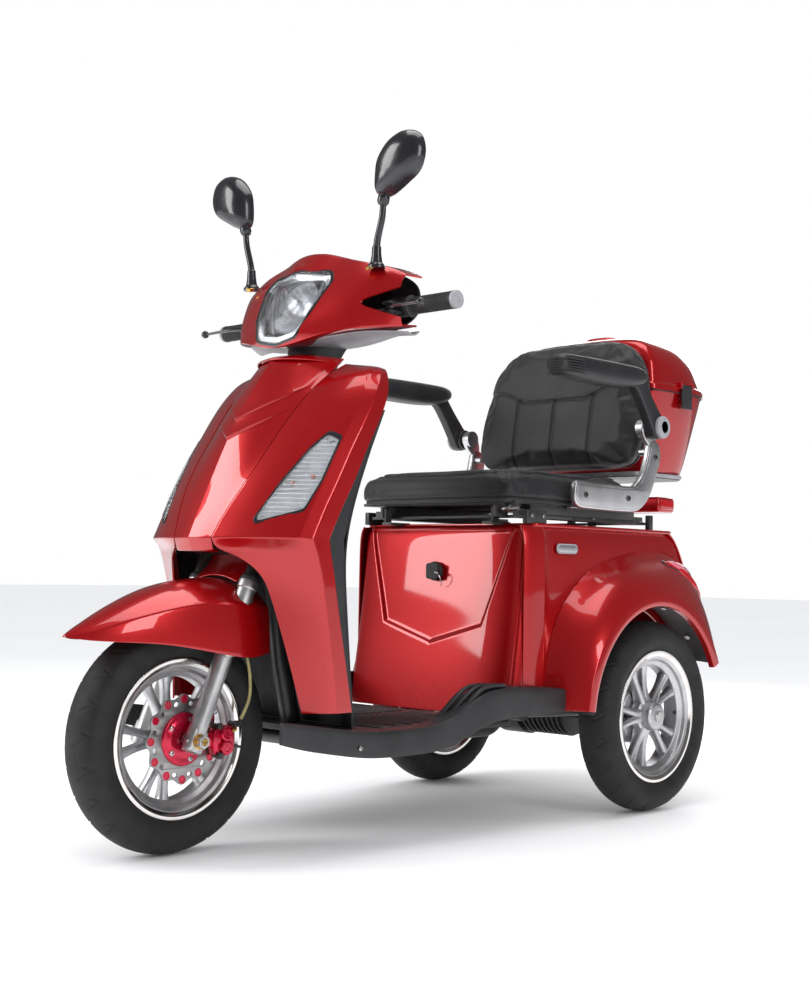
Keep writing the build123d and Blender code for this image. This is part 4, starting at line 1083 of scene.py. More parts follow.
def shields():
    skin = cage(shield_rows(), hard_rows={7: 0.8}, hard_cols={3: 0.9, 4: 0.9}, level=4, inner=(0, 260, 600))
    tree = tree_of(skin)
    corners = filleted([(x, z) for x, z in INDICATOR], 6, 3, closed=True)
    outline = [(x, 100, z) for x, z in corners]
    ahead = (0, 1, 0)
    window = [[(x, y, z) for x, z in corners] for y in (0, 330)]
    made = shell(skin)
    opened = cut(made, grid(window, closed=True, caps=True))
    lens = grid(fanned(outline, (0.965, 0.93, 0.8, 0.55, 0.3, 0.05), tree, ahead,
                       lambda s: 0.4 + 3.0 * (1 - s ** 4)), closed=True, caps=True)
    lens = shell(lens, 1.6, 0.5)
    rings = (1.035, 1.03, 1.0, 0.955, 0.95)
    heights = {1.035: -1.5, 1.03: 0.9, 1.0: 1.3, 0.955: 0.6, 0.95: -7.0}
    bezel = grid(fanned(outline, rings, tree, ahead, lambda s: heights[s]), closed=True)
    dish = grid(fanned(outline, (0.99, 0.9, 0.72, 0.45, 0.05), tree, ahead,
                       lambda s: -3.5 - 11 * (1 - s ** 3)), closed=True, caps=True)
    ribs = []
    for k in range(17):
        level = 604 + k * 8.2
        left = 131 + max(0, level - 602) * 0.335
        points = []
        for m in range(9):
            x = left + (203 - left) * m / 8
            hit, normal, _, _ = tree.ray_cast(place(x, -200, level), Vector(ahead))
            if hit:
                on = hit + Vector(ahead) * 0.004
                points.append((on.x * 1000, on.y * 1000 + MID_Y, on.z * 1000))
        if len(points) > 3:
            ribs.append(tube(points, 1.5, 8))
    bulbs = []
    for x, z in ((160, 655), (186, 668)):
        hit, _, _, _ = tree.ray_cast(place(x, -200, z), Vector(ahead))
        foot = (x, hit.y * 1000 + MID_Y + 13, z)
        bulbs.append(turned([(0, 3.6), (6, 4.6), (9, 3.6), (10.5, 0.4)], foot, (0.4, -1, 0), 24))
    for side, flip in (("left", lambda m: m), ("right", mirrored)):
        node = f"shield_{side}"
        piece(f"shield_skin_{side}", flip(opened), node, node)
        lens_nodes = ("indicator_lenses",) if side == "left" else ()
        piece(f"indicator_lens_{side}", flip(lens), "indicator_lenses", *lens_nodes)
        piece(f"indicator_bezel_{side}", flip(bezel), "indicator_lenses", paint="black_alloy")
        # The reflector dish and ribs take lens_silver's near-white colour, a painted reflection in place of
        # chrome.
        piece(f"indicator_dish_{side}", flip(dish), "indicator_lenses", slot="chrome_reflector",
              paint="lens_silver")
        piece(f"indicator_ribs_{side}", flip(merged(*ribs)), "indicator_lenses", slot="chrome_reflector",
              paint="lens_silver")
        piece(f"indicator_bulbs_{side}", flip(merged(*bulbs)), "indicator_lenses", slot="red_lens",
              paint="amber_bulb")


def leg_shield():
    levels = [
        (213, [(0, 328), (60, 327), (110, 325), (170, 292), (212, 252)]),
        (330, [(0, 314), (60, 312), (110, 306), (170, 272), (213, 238)]),
        (450, [(0, 308), (60, 306), (110, 298), (170, 262), (213, 226)]),
        (560, [(0, 304), (60, 302), (110, 292), (170, 254), (213, 216)]),
        (700, [(0, 332), (60, 328), (110, 316), (170, 292), (213, 270)]),
        (800, [(0, 374), (60, 364), (110, 346), (170, 330), (212, 316)]),
        (860, [(0, 404), (50, 392), (96, 368), (150, 350), (190, 340)]),
    ]
    rows = [full_width([(x, y, z) for x, y in line]) for z, line in levels]
    skin = cage(rows, hard_cols={2: 0.5, 6: 0.5}, level=4, inner=(0, 100, 560))

    def panel_lines(x, y, z):
        box = max(abs(x) / 92, abs(z - 610) / 96)
        groove = -2.2 * max(0, 1 - abs(box - 1) * 36)
        return groove - (1.2 if box < 1 else 0)

    skin = displaced(skin, panel_lines)
    piece("leg_shield_skin", shell(skin), "leg_shield", "leg_shield")
    web = [(250, 230, 249), (450, 188, 228), (557, 166, 218), (700, 242, 272), (800, 298, 318)]
    web_skin = grid([[(211, front, z), (211, rear, z)] for z, front, rear in web])
    pair("side_return", shell(web_skin, 2.4, 0.6), "leg_shield")
    hook = tube(smooth_line([(0, 342, 742), (0, 366, 738), (0, 380, 716), (0, 372, 700), (0, 384, 690)], 6),
                4.4, 16)
    piece("bag_hook", hook, "leg_shield", slot="black_steel")
    ring = turned(filleted([(0, 17), (3.5, 17), (5, 14.6), (5, 11.6), (0, 11.6)], 0.8), (110, 344, 800),
                  (0, 1, 0), 48)
    piece("key_escutcheon", ring, "leg_shield", slot="axle_steel")


def ignition_key():
    barrel = turned(filleted([(-10, 10.6), (14, 10.6), (15, 9.6), (15, 2)], 0.6), (110, 342, 800),
                    (0, 1, 0), 48)
    bow_outline = smooth_loop([(358, 791), (366, 789), (382, 790), (385, 800), (382, 810), (366, 811),
                               (358, 809)], 5)
    bow = plate([bow_outline], 3, (110, 0, 0), (0, 1, 0), (0, 0, 1), 0.8)
    piece("key_barrel", barrel, "ignition_key", "ignition_key")
    piece("key_bow", bow, "ignition_key", slot="black_plastic")


nose()
shields()
leg_shield()
ignition_key()


# Cowl, headlamp, dash, handlebar and mirrors

COWL = [
    # x, then (y, z): bottom rear, bottom front, lamp foot, lamp middle, brow, peak, top rear
    (0, [(345, 938), (232, 922), (216, 946), (240, 1000), (268, 1062), (318, 1122), (402, 1118)]),
    (42, [(346, 939), (234, 927), (221, 950), (243, 1002), (274, 1062), (322, 1118), (402, 1114)]),
    (78, [(348, 942), (242, 936), (238, 956), (258, 1006), (296, 1068), (332, 1106), (402, 1105)]),
    (118, [(352, 950), (256, 946), (258, 974), (272, 1014), (300, 1064), (326, 1094), (402, 1096)]),
    (160, [(360, 956), (276, 952), (276, 984), (290, 1020), (314, 1062), (338, 1084), (402, 1086)]),
    (198, [(376, 960), (318, 956), (314, 986), (320, 1020), (332, 1056), (350, 1072), (404, 1072)]),
    (218, [(392, 964), (352, 960), (344, 986), (342, 1016), (348, 1046), (360, 1060), (405, 1062)]),
]
LAMP = [(78, 1074), (94, 1052), (76, 990), (54, 940), (0, 928), (-54, 940), (-76, 990), (-94, 1052),
        (-78, 1074), (0, 1080)]


def lamp_outline():
    return filleted([(x, 230, z) for x, z in LAMP], 9, 4, closed=True)


def cowl():
    half = [[(x, y, z) for y, z in line] for x, line in COWL]
    rows = [[(-x, y, z) for x, y, z in row] for row in half[:0:-1]] + half
    skin = cage(rows, hard_cols={1: 0.9, 5: 0.7}, level=4, inner=(0, 380, 1010))
    tree = tree_of(skin)
    outline = lamp_outline()
    window = grid([[(x, y, z) for x, _, z in outline] for y in (120, 330)], closed=True, caps=True)
    notch = [(156, 1002), (240, 1046), (240, 968)]
    sides = []
    for sign in (1, -1):
        edge = filleted([(sign * x, z) for x, z in notch], 22, 6, closed=True)
        sides.append(grid([[(x, y, z) for x, z in edge] for y in (250, 398)], closed=True, caps=True))
    body = cut(shell(skin), window, *sides)
    piece("cowl_skin", body, "headlamp_cowl", "headlamp_cowl")
    ahead = (0, 1, 0)
    lens = grid(fanned(outline, (0.97, 0.94, 0.8, 0.6, 0.35, 0.08), tree, ahead,
                       lambda s: 0.6 + 4.0 * (1 - s ** 4)), closed=True, caps=True)
    piece("headlamp_glass", shell(lens, 2, 0.6), "headlamp_lens", "headlamp_lens")
    heights = {1.03: -1.5, 1.025: 1.2, 0.99: 1.8, 0.965: 0.9, 0.955: -14.0}
    rim_mesh = grid(fanned(outline, tuple(heights), tree, ahead, lambda s: heights[s]), closed=True)
    piece("headlamp_bezel", rim_mesh, "headlamp_lens", paint="black_alloy")
    tray = grid(fanned(outline, (0.985, 0.9, 0.84), tree, ahead, lambda s: -8 - 30 * (1 - s)), closed=True)
    piece("headlamp_tray", tray, "headlamp_reflector", "headlamp_reflector")
    facing = Vector((0, -0.93, 0.37))
    seat = Vector((0, 300, 1004))
    bowl = [(-26, 12), (-24, 20), (-12, 36), (2, 46), (14, 53), (15, 55), (13, 56), (-6, 45), (-28, 18)]
    reflector = turned(filleted(bowl, 1.2), seat, facing, 72)
    fins = []
    for k in range(24):
        turn = tau * k / 24
        side, other = Vector((1, 0, 0)), facing.cross(Vector((1, 0, 0)))
        out = side * cos(turn) + other * sin(turn)
        fins.append(tube([seat + facing * -14 + out * 31, seat + out * 43, seat + facing * 13 + out * 51],
                         1.8, 8))
    visor = turned(filleted([(-8, 10), (8, 15), (18, 16), (20, 12), (21, 2)], 1), seat, facing, 40)
    piece("headlamp_bowl", merged(reflector, *fins), "headlamp_reflector")
    piece("headlamp_visor", visor, "headlamp_reflector")
    side_wings = []
    for sign in (1, -1):
        for k in range(4):
            y = 262 + k * 9
            side_wings.append(tube([(sign * 34, y - 6, 958 + k * 5), (sign * 58, y + 12, 1000 + k * 5),
                                    (sign * 66, y + 30, 1050)], 2.4, 10))
    piece("headlamp_wings", merged(*side_wings), "headlamp_reflector")
    backing = [[(x, 338 - abs(x) * 0.1, z) for x in (-80, -50, 0, 50, 80)] for z in (938, 980, 1030, 1078)]
    piece("headlamp_backing", shell(cage(backing, level=2), 2), "headlamp_reflector",
          slot="chrome_reflector", paint="grey_trim")


def cowl_trim():
    """Grey trim under the cowl and the black shroud down the neck."""
    under = []
    for x, (rear, front) in ((216, (404, 372)), (160, (404, 300)), (90, (400, 262)), (0, (396, 246))):
        drop = 952 if x > 100 else 936
        under.append([(x, front, drop), (x, (front + rear) / 2, drop - 8), (x, rear, drop + 4)])
    rows = under + [[(-a, b, c) for a, b, c in row] for row in under[-2::-1]]
    trim = shell(cage(rows, level=3, inner=(0, 340, 1010)), 3)
    piece("cowl_underside", trim, "dash_cover", slot="black_plastic", paint="grey_trim")
    neck = []
    for z, y, half, depth in ((872, 318, 47, 44), (900, 326, 45, 44), (930, 338, 50, 48),
                              (952, 350, 60, 50)):
        loop = [(-half, y - depth * 0.6), (-half * 0.6, y - depth), (0, y - depth * 1.1),
                (half * 0.6, y - depth), (half, y - depth * 0.6), (half, y + depth * 0.7),
                (half * 0.6, y + depth), (-half * 0.6, y + depth), (-half, y + depth * 0.7)]
        neck.append([(a, b, z) for a, b in loop])
    shroud = shell(cage(neck, closed=True, level=3, inner=(0, 340, 910)), 2.4)
    piece("neck_shroud", shroud, "dash_cover", slot="black_plastic")


def dash():
    """Rider-side cover with a gauge and its surround."""
    rim_line = [(-214, 984), (-150, 962), (-60, 946), (0, 942), (60, 946), (150, 962), (214, 984),
                (216, 1018), (214, 1050)]
    rim_line += [(150, 1080), (70, 1106), (0, 1114), (-70, 1106), (-150, 1080), (-214, 1050), (-216, 1018)]
    rows = []
    for y, scale, lift in ((404, 1.0, 0), (414, 0.97, 1), (428, 0.82, 3), (436, 0.62, 5), (437, 0.55, 6),
                           (434, 0.5, 6)):
        rows.append([(x * scale, y, 1026 + (z - 1026) * scale + lift) for x, z in rim_line])
    rows.append([(x * 0.06, 434, 1032 + (z - 1026) * 0.06) for x, z in rim_line])
    skin = cage(rows, closed=True, hard_rows={4: 0.6}, level=3, inner=(0, 300, 1020))
    bars = [turned([(-240, 24), (240, 24)], (s * 240, BAR_Y, BAR_Z), (1, 0, 0), 40) for s in (1, -1)]
    piece("dash_skin", cut(shell(skin, 3), *bars), "dash_cover", "dash_cover")
    outline = filleted([(-62, 1004), (62, 1004), (74, 1034), (50, 1064), (-50, 1064), (-74, 1034)], 10, 4,
                       closed=True)
    surround = plate([outline, [(x * 0.9, 1034 + (z - 1034) * 0.86) for x, z in outline]], 6, (0, 437, 0),
                     edge=1.6)
    piece("gauge_surround", surround, "dash_cover", paint="grey_trim")
    screen = plate([[(x * 0.9, 1034 + (z - 1034) * 0.86) for x, z in outline]], 2.4, (0, 436, 0))
    piece("gauge_screen", screen, "dash_cover", paint="black_alloy")


def bar_and_levers():
    bar = turned(filleted([(-325, 9), (-325, 11), (325, 11), (325, 9)], 1), (0, BAR_Y, BAR_Z), (1, 0, 0),
                 40)
    piece("bar_tube", bar, "handlebar", "handlebar")
    perches = []
    for sign in (1, -1):
        housing = [(166, 12), (166, 17.5), (169, 19), (186, 19), (187, 18.2), (188, 19), (208, 19),
                   (210.4, 17), (210.4, 12)]
        perches.append(turned(filleted(housing, 0.7), (0, BAR_Y, BAR_Z), (sign, 0, 0), 48))
        for z in (BAR_Z - 16, BAR_Z + 1):
            ear = [(178, -46), (202, -46), (203, -30), (202, -12), (178, -12), (177, -30)]
            loop = filleted([(sign * a, b) for a, b in ear], 4, 3, closed=True)
            perches.append(plate([loop], 5.2, (0, BAR_Y, z + 2.6), (1, 0, 0), (0, 1, 0), 0.8))
        perches.append(screw((sign * 190, BAR_Y - 34, BAR_Z + 6), (0, 0, 1), 5, 3))
        perches.append(brick((sign * 190 - 8, sign * 190 + 8), (BAR_Y + 14, BAR_Y + 23),
                             (BAR_Z - 8, BAR_Z + 8), 2))
    piece("perch_housings", merged(*perches), "lever_perches", "lever_perches")
    for side, sign in (("left", 1), ("right", -1)):
        y, z = BAR_Y - 34, BAR_Z - 5
        eye = turned(filleted([(-4, 3.2), (-4, 8), (4, 8), (4, 3.2)], 0.8), (sign * 190, y, z), (0, 0, 1),
                     32)
        route = [(190, y - 2, z), (206, y - 14, z - 2), (232, y - 30, z - 4), (262, y - 36, z - 6),
                 (300, y - 40, z - 8)]
        route = smooth_line([(sign * a, b, c) for a, b, c in route], 8)
        width = [6.6 - 2.4 * k / (len(route) - 1) for k in range(len(route))]
        arm = tube(route, width, 20, 0.62)
        ball = turned([(8 * -cos(pi * k / 16), 8 * sin(pi * k / 16) + 0.01) for k in range(17)],
                      (sign * 304, y - 40.5, z - 8), (1, 0, 0), 32)
        piece(f"lever_blade_{side}", merged(eye, arm, ball), f"brake_lever_{side}", f"brake_lever_{side}")
    for node, sign in (("grip_left", 1), ("throttle_grip", -1)):
        profile = [(212, 11.2), (212, 20), (213.5, 21), (216.5, 21), (218, 20), (219, 17.2)]
        for k in range(18):
            a = 222 + k * 5.2
            profile += [(a, 16.4), (a + 1, 15.4), (a + 2.2, 15.4), (a + 3.2, 16.4)]
        profile += [(318, 16.6), (319, 17.2), (322, 17.2), (322, 11.2)]
        sleeve = turned(profile, (0, BAR_Y, BAR_Z), (sign, 0, 0), 56)
        piece(node + "_sleeve", sleeve, node, node)
        cap_profile = [(321.6, 11.2), (321.6, 17), (329, 17), (331, 15), (331, 6), (329.4, 5)]
        cap = turned(filleted(cap_profile, 1.2), (0, BAR_Y, BAR_Z), (sign, 0, 0), 48)
        piece(node + "_end", cap, node, paint="grey_trim")
        flutes = []
        for k in range(28):
            turn = tau * k / 28
            y, z = BAR_Y + 15.8 * sin(turn), BAR_Z + 15.8 * cos(turn)
            flutes.append(tube([(sign * 224, y, z), (sign * 270, y, z), (sign * 316, y, z)], 0.9, 6))
        piece(node + "_flutes", merged(*flutes), node)


MIRROR_FOOT, MIRROR_BALL = (177.0, 322.0, 1066.0), (196.0, 318.0, 1196.0)
MIRROR_SHAPE = [(-12, 10), (-15, 46), (-7, 80), (20, 110), (56, 122), (88, 109), (99, 76), (88, 44),
                (58, 24), (16, 5)]


def mirror_ring(scale, forward):
    """The pear-shaped outline of a mirror head, drawn towards its middle."""
    x, y, z = MIRROR_BALL
    middle = (36, 62)
    loop = smooth_loop(MIRROR_SHAPE, 7)
    shift = (1 - scale) * 6
    return [(x + middle[0] + (a - middle[0]) * scale - shift, y + forward,
             z + middle[1] + (b - middle[1]) * scale - shift)
            for a, b in loop]


def mirrors():
    x, y, z = MIRROR_FOOT
    bx, by, bz = MIRROR_BALL
    route = smooth_line([(x, y, z + 10), (x + 0.6, y - 0.6, z + 34), (x + 3, y - 2, z + 56),
                         (bx - 4, by + 1, bz - 34), (bx - 0.6, by, bz - 5)], 8)
    count = len(route)
    arm = tube(route, [7.4 - 1.4 * k / count for k in range(count)], 24)
    boot = turned(filleted([(4, 17), (9, 16.5), (14, 12), (22, 10.6), (30, 9.4), (44, 8.8), (46, 7)], 1.6),
                  (x, y, z), (0.02, -0.03, 1), 40)
    ball = turned([(7.9 * -cos(pi * k / 16), 7.9 * sin(pi * k / 16) + 0.01) for k in range(17)],
                  MIRROR_BALL, (0, 0, 1), 32)
    stem = merged(arm, boot, ball)
    nut = hexagon((x - 6, y - 9, z + 1), (-0.2, -0.35, 0.9), 15, 7)
    domed = [(0.012, -30), (0.2, -29.6), (0.4, -28.2), (0.58, -25.6), (0.74, -21.4), (0.86, -16),
             (0.945, -9), (0.985, -2)]
    domed += [(1.0, 3), (0.995, 7), (0.975, 8.6), (0.95, 8), (0.94, 5)]
    shell_mesh = grid([mirror_ring(s, f) for s, f in domed], closed=True, caps=True)
    pane = [(0.945, 5.6), (0.93, 6.6), (0.9, 6.9), (0.5, 7.0), (0.01, 7.0)]
    glass = grid([mirror_ring(s, f) for s, f in pane], closed=True, caps=True)
    socket = [(-12, 3), (-10, 8.5), (-4, 11.8), (4, 11.8), (9, 9.6), (16, 8.6), (24, 9.6), (34, 12)]
    neck = turned(filleted(socket, 1), MIRROR_BALL, (0.34, -0.06, 1), 40)
    collars = [turned(filleted([(d, 9.2), (d + 1, 10.6), (d + 3, 10.6), (d + 4, 9.2)], 0.6), MIRROR_BALL,
                      (0.34, -0.06, 1), 36)
               for d in (12, 17)]
    for side, flip in (("left", lambda m: m), ("right", mirrored)):
        stem_nodes = ("mirror_stems",) if side == "left" else ()
        piece(f"mirror_arm_{side}", flip(stem), "mirror_stems", *stem_nodes, paint="mirror_shell")
        piece(f"mirror_nut_{side}", flip(nut), "mirror_stems", slot="axle_steel", paint="brass")
        node = f"mirror_head_{side}"
        piece(f"mirror_back_{side}", flip(merged(shell_mesh, neck, *collars)), node, node)
        piece(f"mirror_pane_{side}", flip(glass), node, slot="chrome_reflector", paint="mirror_glass")


cowl()
cowl_trim()
dash()
bar_and_levers()
mirrors()


# Floor board

SILL = [
    # length, underside, top, inner side, outer side
    (58, 206, 244, 227, 236),
    (120, 190, 236, 223, 246),
    (180, 180, 226, 221, 251),
    (252, 168, 217, 221, 254),
    (340, 167, 216, 221, 258),
    (430, 168, 217, 221, 264),
    (470, 184, 238, 228, 280),
    (505, 205, 268, 237, 290),
    (560, 220, 282, 239, 292),
    (640, 223, 282, 240, 293),
    (740, 224, 275, 245, 293),
    (820, 224, 269, 247, 293),
]


def sills():
    rows = []
    for y, low, high, inner, out in SILL:
        rows.append([(inner, y, low), (out - 3, y, low), (out, y, low + 4), (out, y, high - 10),
                     (out - 3, y, high - 2), (out - 10, y, high), (inner, y, high)])
    skin = cage(rows, closed=True, level=3, hard_cols={0: 1, 1: 0.5, 6: 1}, hard_rows={0: 1, 11: 1})
    bm = bmesh.new()
    bm.from_mesh(skin)
    bmesh.ops.holes_fill(bm, edges=[e for e in bm.edges if e.is_boundary], sides=0)
    bmesh.ops.recalc_face_normals(bm, faces=bm.faces)
    solid = finished(bm)
    ribs = []
    for k in range(3):
        x, y = 248 + k * 13, 484 + k * 10
        run = smooth_line([(x - 26, y - 36, 219), (x - 14, y - 18, 238), (x, y + 6, 268),
                           (x + 2, y + 40, 284), (x + 4, y + 96, 285.5)], 6)
        sizes = [2.5] + [6.4] * (len(run) - 2) + [2.5]
        ribs.append(tube(run, sizes, 20, 0.7))
    pair("sill", merged(solid, *ribs), "footboard")
    heads = [screw((254.2, 226, 190), (1, 0, -0.05), 4.5, 2.4),
             screw((254.5, 330, 190), (1, 0, 0), 4.5, 2.4)]
    pair("sill_screws", merged(*heads), "footboard", slot="axle_steel")


def floor_pan():
    """Moulded floor with raised grip bars, a border bead and fixing screws."""
    outline = [(-223, 247), (-223, 432), (-242, 452), (-242, 664), (242, 664), (242, 452), (223, 432),
               (223, 247)]
    pan = plate([filleted(outline, 10, 4, closed=True)], 12, (0, 0, 206), (1, 0, 0), (0, 1, 0), 2.5)
    piece("floor_pan", pan, "footboard", "footboard")
    bars = []
    for k in range(14):
        y = 352 + k * 20
        reach = 168 if k % 2 else 182
        for sign in (1, -1):
            bars.append(brick(sorted((sign * 14, sign * reach)), (y, y + 7), (211, 214.6), 1.4))
    bead = tube(filleted([(-200, 640, 212), (-204, 470, 212), (-196, 342, 212), (196, 342, 212),
                          (204, 470, 212), (200, 640, 212)], 22, 5), 3, 12)
    piece("floor_grips", merged(*bars, bead), "footboard")
    heads = [screw((sign * 206, y, 211.5), (0, 0, 1), 5.5, 2.6) for sign in (1, -1)
             for y in (390, 560, 640)]
    piece("floor_screws", merged(*heads), "footboard", slot="axle_steel")


sills()
floor_pan()


# Rear body

CHEVRON = [(206, 598), (139, 392), (0, 352), (-139, 392), (-206, 598)]


def chevron_depth(x, z):
    """How far inside the chevron a place on the cover lies; it is negative outside."""
    inside = 99.0
    for (ax, az), (bx, bz) in zip(CHEVRON, CHEVRON[1:]):
        length = hypot(bx - ax, bz - az)
        distance = ((x - ax) * (bz - az) - (z - az) * (bx - ax)) / length
        inside = min(inside, distance)
    return inside


def battery_cover():
    rows = []
    for z, y, shrink in ((214, 663, 0), (300, 676, 0), (390, 690, 0), (500, 702, 0), (570, 709, 0),
                         (592, 713, 2), (602, 722, 5), (605, 742, 8)):
        line = [(0, y), (70, y), (140, y + 0.5), (200, y + 2), (222, y + 9), (233, y + 26), (236, y + 46)]
        rows.append(full_width([(x - shrink * x / 240, b, z) for x, b in line]))
    skin = cage(rows, level=5, inner=(0, 900, 420))

    def relief(x, y, z):
        inside = chevron_depth(x, z)
        step = min(1, max(0, inside / 9))
        middle = -5.5 * step * step * (3 - 2 * step) if z < 596 else 0
        groove = -1.8 * max(0, 1 - ((abs(x) - 223) / 2.4) ** 2) if abs(x) > 215 and z < 590 else 0
        return middle + groove

    skin = displaced(skin, relief)
    hole = turned([(-60, 15.6), (60, 15.6)], (0, 706, 505), (0, 1, 0), 48)
    piece("cover_skin", cut(shell(skin), hole), "battery_cover", "battery_cover")
    socket = turned(filleted([(-6, 12), (-6, 19.4), (0, 20.6), (4, 20.6), (6, 15), (22, 15)], 1.2),
                    (0, 700, 505), (0, 1, 0), 48)
    door = plate([filleted([(-17, 488), (17, 488), (17, 522), (-17, 522)], 7, 4, closed=True)], 5,
                 (0, 692, 0), edge=1.6)
    piece("charge_socket", merged(socket, door), "charge_port", "charge_port")
    pin = turned(filleted([(0, 3.2), (5, 3.2), (6, 2)], 0.6), (15, 690, 502), (0, -1, 0), 20)
    loop = tube(smooth_line([(15, 686, 504), (22, 684, 500), (27, 687, 490), (26, 692, 478),
                             (22, 696, 474)], 6), 0.9, 8)
    piece("charge_pin", merged(pin, loop), "charge_port", slot="axle_steel")


REAR_Y, REAR_Z = WHEELBASE, TYRE_R
LIP_R, LIP_OUT_R = 238, 262
FENDER = [
    # angle forward of straight up, then where the fender leaves the body (y, z)
    (84.5, (766, 226)),
    (76, (765, 262)),
    (66, (770, 318)),
    (54, (790, 386)),
    (41, (830, 445)),
    (28, (886, 495)),
    (14, (955, 528)),
    (0, (1040, 548)),
    (-13, (1120, 558)),
    (-25, (1200, 562)),
    (-37, (1272, 544)),
    (-49, (1316, 480)),
    (-59, (1322, 400)),
    (-66, (1318, 330)),
]


def fender_rows():
    rows = []
    for angle, (body_y, body_z) in FENDER:
        turn = radians(angle)
        out = Vector((-sin(turn), cos(turn)))
        hub = Vector((REAR_Y, REAR_Z))
        lip, outer = hub + out * LIP_R, hub + out * LIP_OUT_R
        root = Vector((body_y, body_z))
        reach = (root - outer).length
        row = [(244, *root)]
        for share, bulge, x in ((0.24, 0.05, 268), (0.52, 0.12, 300), (0.8, 0.1, 326)):
            spot = root.lerp(outer, share) + out * (reach * bulge)
            row.append((x, *spot))
        row += [(340, *outer), (342, *(hub + out * (LIP_R + 7))), (340, *lip),
                (328, *(hub + out * (LIP_R - 1)))]
        rows.append(row)
    return rows


def side_wall():
    rows = []
    for y, bulge in ((708, -8), (722, 0), (746, 3), (762, 4), (776, -1), (840, 0), (960, 0), (1100, 0),
                     (1220, 0), (1262, -1), (1296, -4)):
        top = 602 if y < 1265 else 602 - (y - 1262) * 1.6
        row = []
        for share in (0, 0.15, 0.4, 0.7, 0.88, 0.965, 1.0):
            z = 228 + (top - 228) * share
            tuck = {0.965: 3, 1.0: 12}.get(share, 0)
            row.append((243 + bulge - tuck, y, z))
        rows.append(row)
    skin = cage(rows, level=3, hard_rows={3: 0.7}, inner=(0, 1000, 420))
    wheel_room = turned([(-40, 236), (40, 236)], (243, REAR_Y, REAR_Z), (1, 0, 0), 96)
    return cut(shell(skin), wheel_room)


def rear_body():
    wall = side_wall()
    fender_skin = cage(fender_rows(), level=4, hard_cols={4: 0.85, 6: 0.8}, hard_rows={13: 1},
                       inner=(290, REAR_Y, REAR_Z + 120))
    tree = tree_of(fender_skin)
    fender = shell(fender_skin, 3)
    liner_rows = []
    for k in range(33):
        turn = radians(86 - k * 150 / 32)
        liner_rows.append([(x, REAR_Y - r * sin(turn), REAR_Z + r * cos(turn))
                           for x, r in ((247, 252), (252, 250), (300, 248), (334, 243), (338, 239.5))])
    liner = shell(grid(liner_rows), 2)
    bolts = []
    for angle in (-48, -20, 50):
        turn = radians(angle)
        bolts.append(hexagon((292, REAR_Y - 247 * sin(turn), REAR_Z + 247 * cos(turn)),
                             (0, sin(turn), -cos(turn)), 12, 5))
    lamp = [(1168, 548), (1232, 552), (1296, 528), (1310, 474), (1306, 428), (1268, 462), (1190, 518),
            (1164, 534)]
    outline = [(290, y, z) for y, z in filleted(lamp, 8, 4, closed=True)]
    inward = Vector((-0.75, -0.45, -0.5)).normalized()
    housing_heights = {1.04: -3, 1.035: 1.6, 0.98: 2.2, 0.97: -2}
    housing = grid(fanned(outline, tuple(housing_heights), tree, inward, lambda s: housing_heights[s]),
                   closed=True)
    glass = grid(fanned(outline, (0.975, 0.96, 0.85, 0.6, 0.3, 0.05), tree, inward,
                        lambda s: 1.2 + 7 * (1 - s ** 3)), closed=True, caps=True)
    upper = [(1176, 544), (1230, 547), (1286, 526), (1292, 506), (1236, 506), (1190, 520)]
    upper_outline = [(290, y, z) for y, z in filleted(upper, 6, 4, closed=True)]
    pale = grid(fanned(upper_outline, (1.0, 0.98, 0.9, 0.6, 0.3, 0.05), tree, inward,
                       lambda s: 5.0 + 5.5 * (1 - s ** 4)), closed=True, caps=True)
    badge_loop = []
    for k in range(48):
        t = tau * k / 48
        badge_loop.append((836 + (26 if cos(t) > 0 else -26) + 10.5 * cos(t), 556 + 10.5 * sin(t)))
    badge = plate([badge_loop], 3.2, (247.4, 0, 0), (0, 1, 0), (0, 0, 1), 1.2)
    badge_face = plate([[(836 + (y - 836) * 0.9, 556 + (z - 556) * 0.72) for y, z in badge_loop]], 1.4,
                       (249.2, 0, 0), (0, 1, 0), (0, 0, 1), 0.4)
    for side, flip in (("left", lambda m: m), ("right", mirrored)):
        node = f"side_panel_{side}"
        piece(f"side_wall_{side}", flip(wall), node, node)
        piece(f"fender_{side}", flip(fender), node)
        piece(f"fender_liner_{side}", flip(liner), node, slot="black_plastic")
        piece(f"fender_bolts_{side}", flip(merged(*bolts)), node, slot="axle_steel")
        piece(f"badge_rim_{side}", flip(badge), node, slot="bracket_alloy", paint="grey_trim")
        piece(f"badge_face_{side}", flip(badge_face), node, slot="bracket_alloy")
        lamp_nodes = ("tail_lights",) if side == "left" else ()
        piece(f"tail_lamp_rim_{side}", flip(housing), "tail_lights", *lamp_nodes, slot="chrome_reflector",
              paint="black_alloy")
        piece(f"tail_lamp_{side}", flip(glass), "tail_lights")
        piece(f"tail_lamp_top_{side}", flip(pale), "tail_lights", paint="pink_lens")


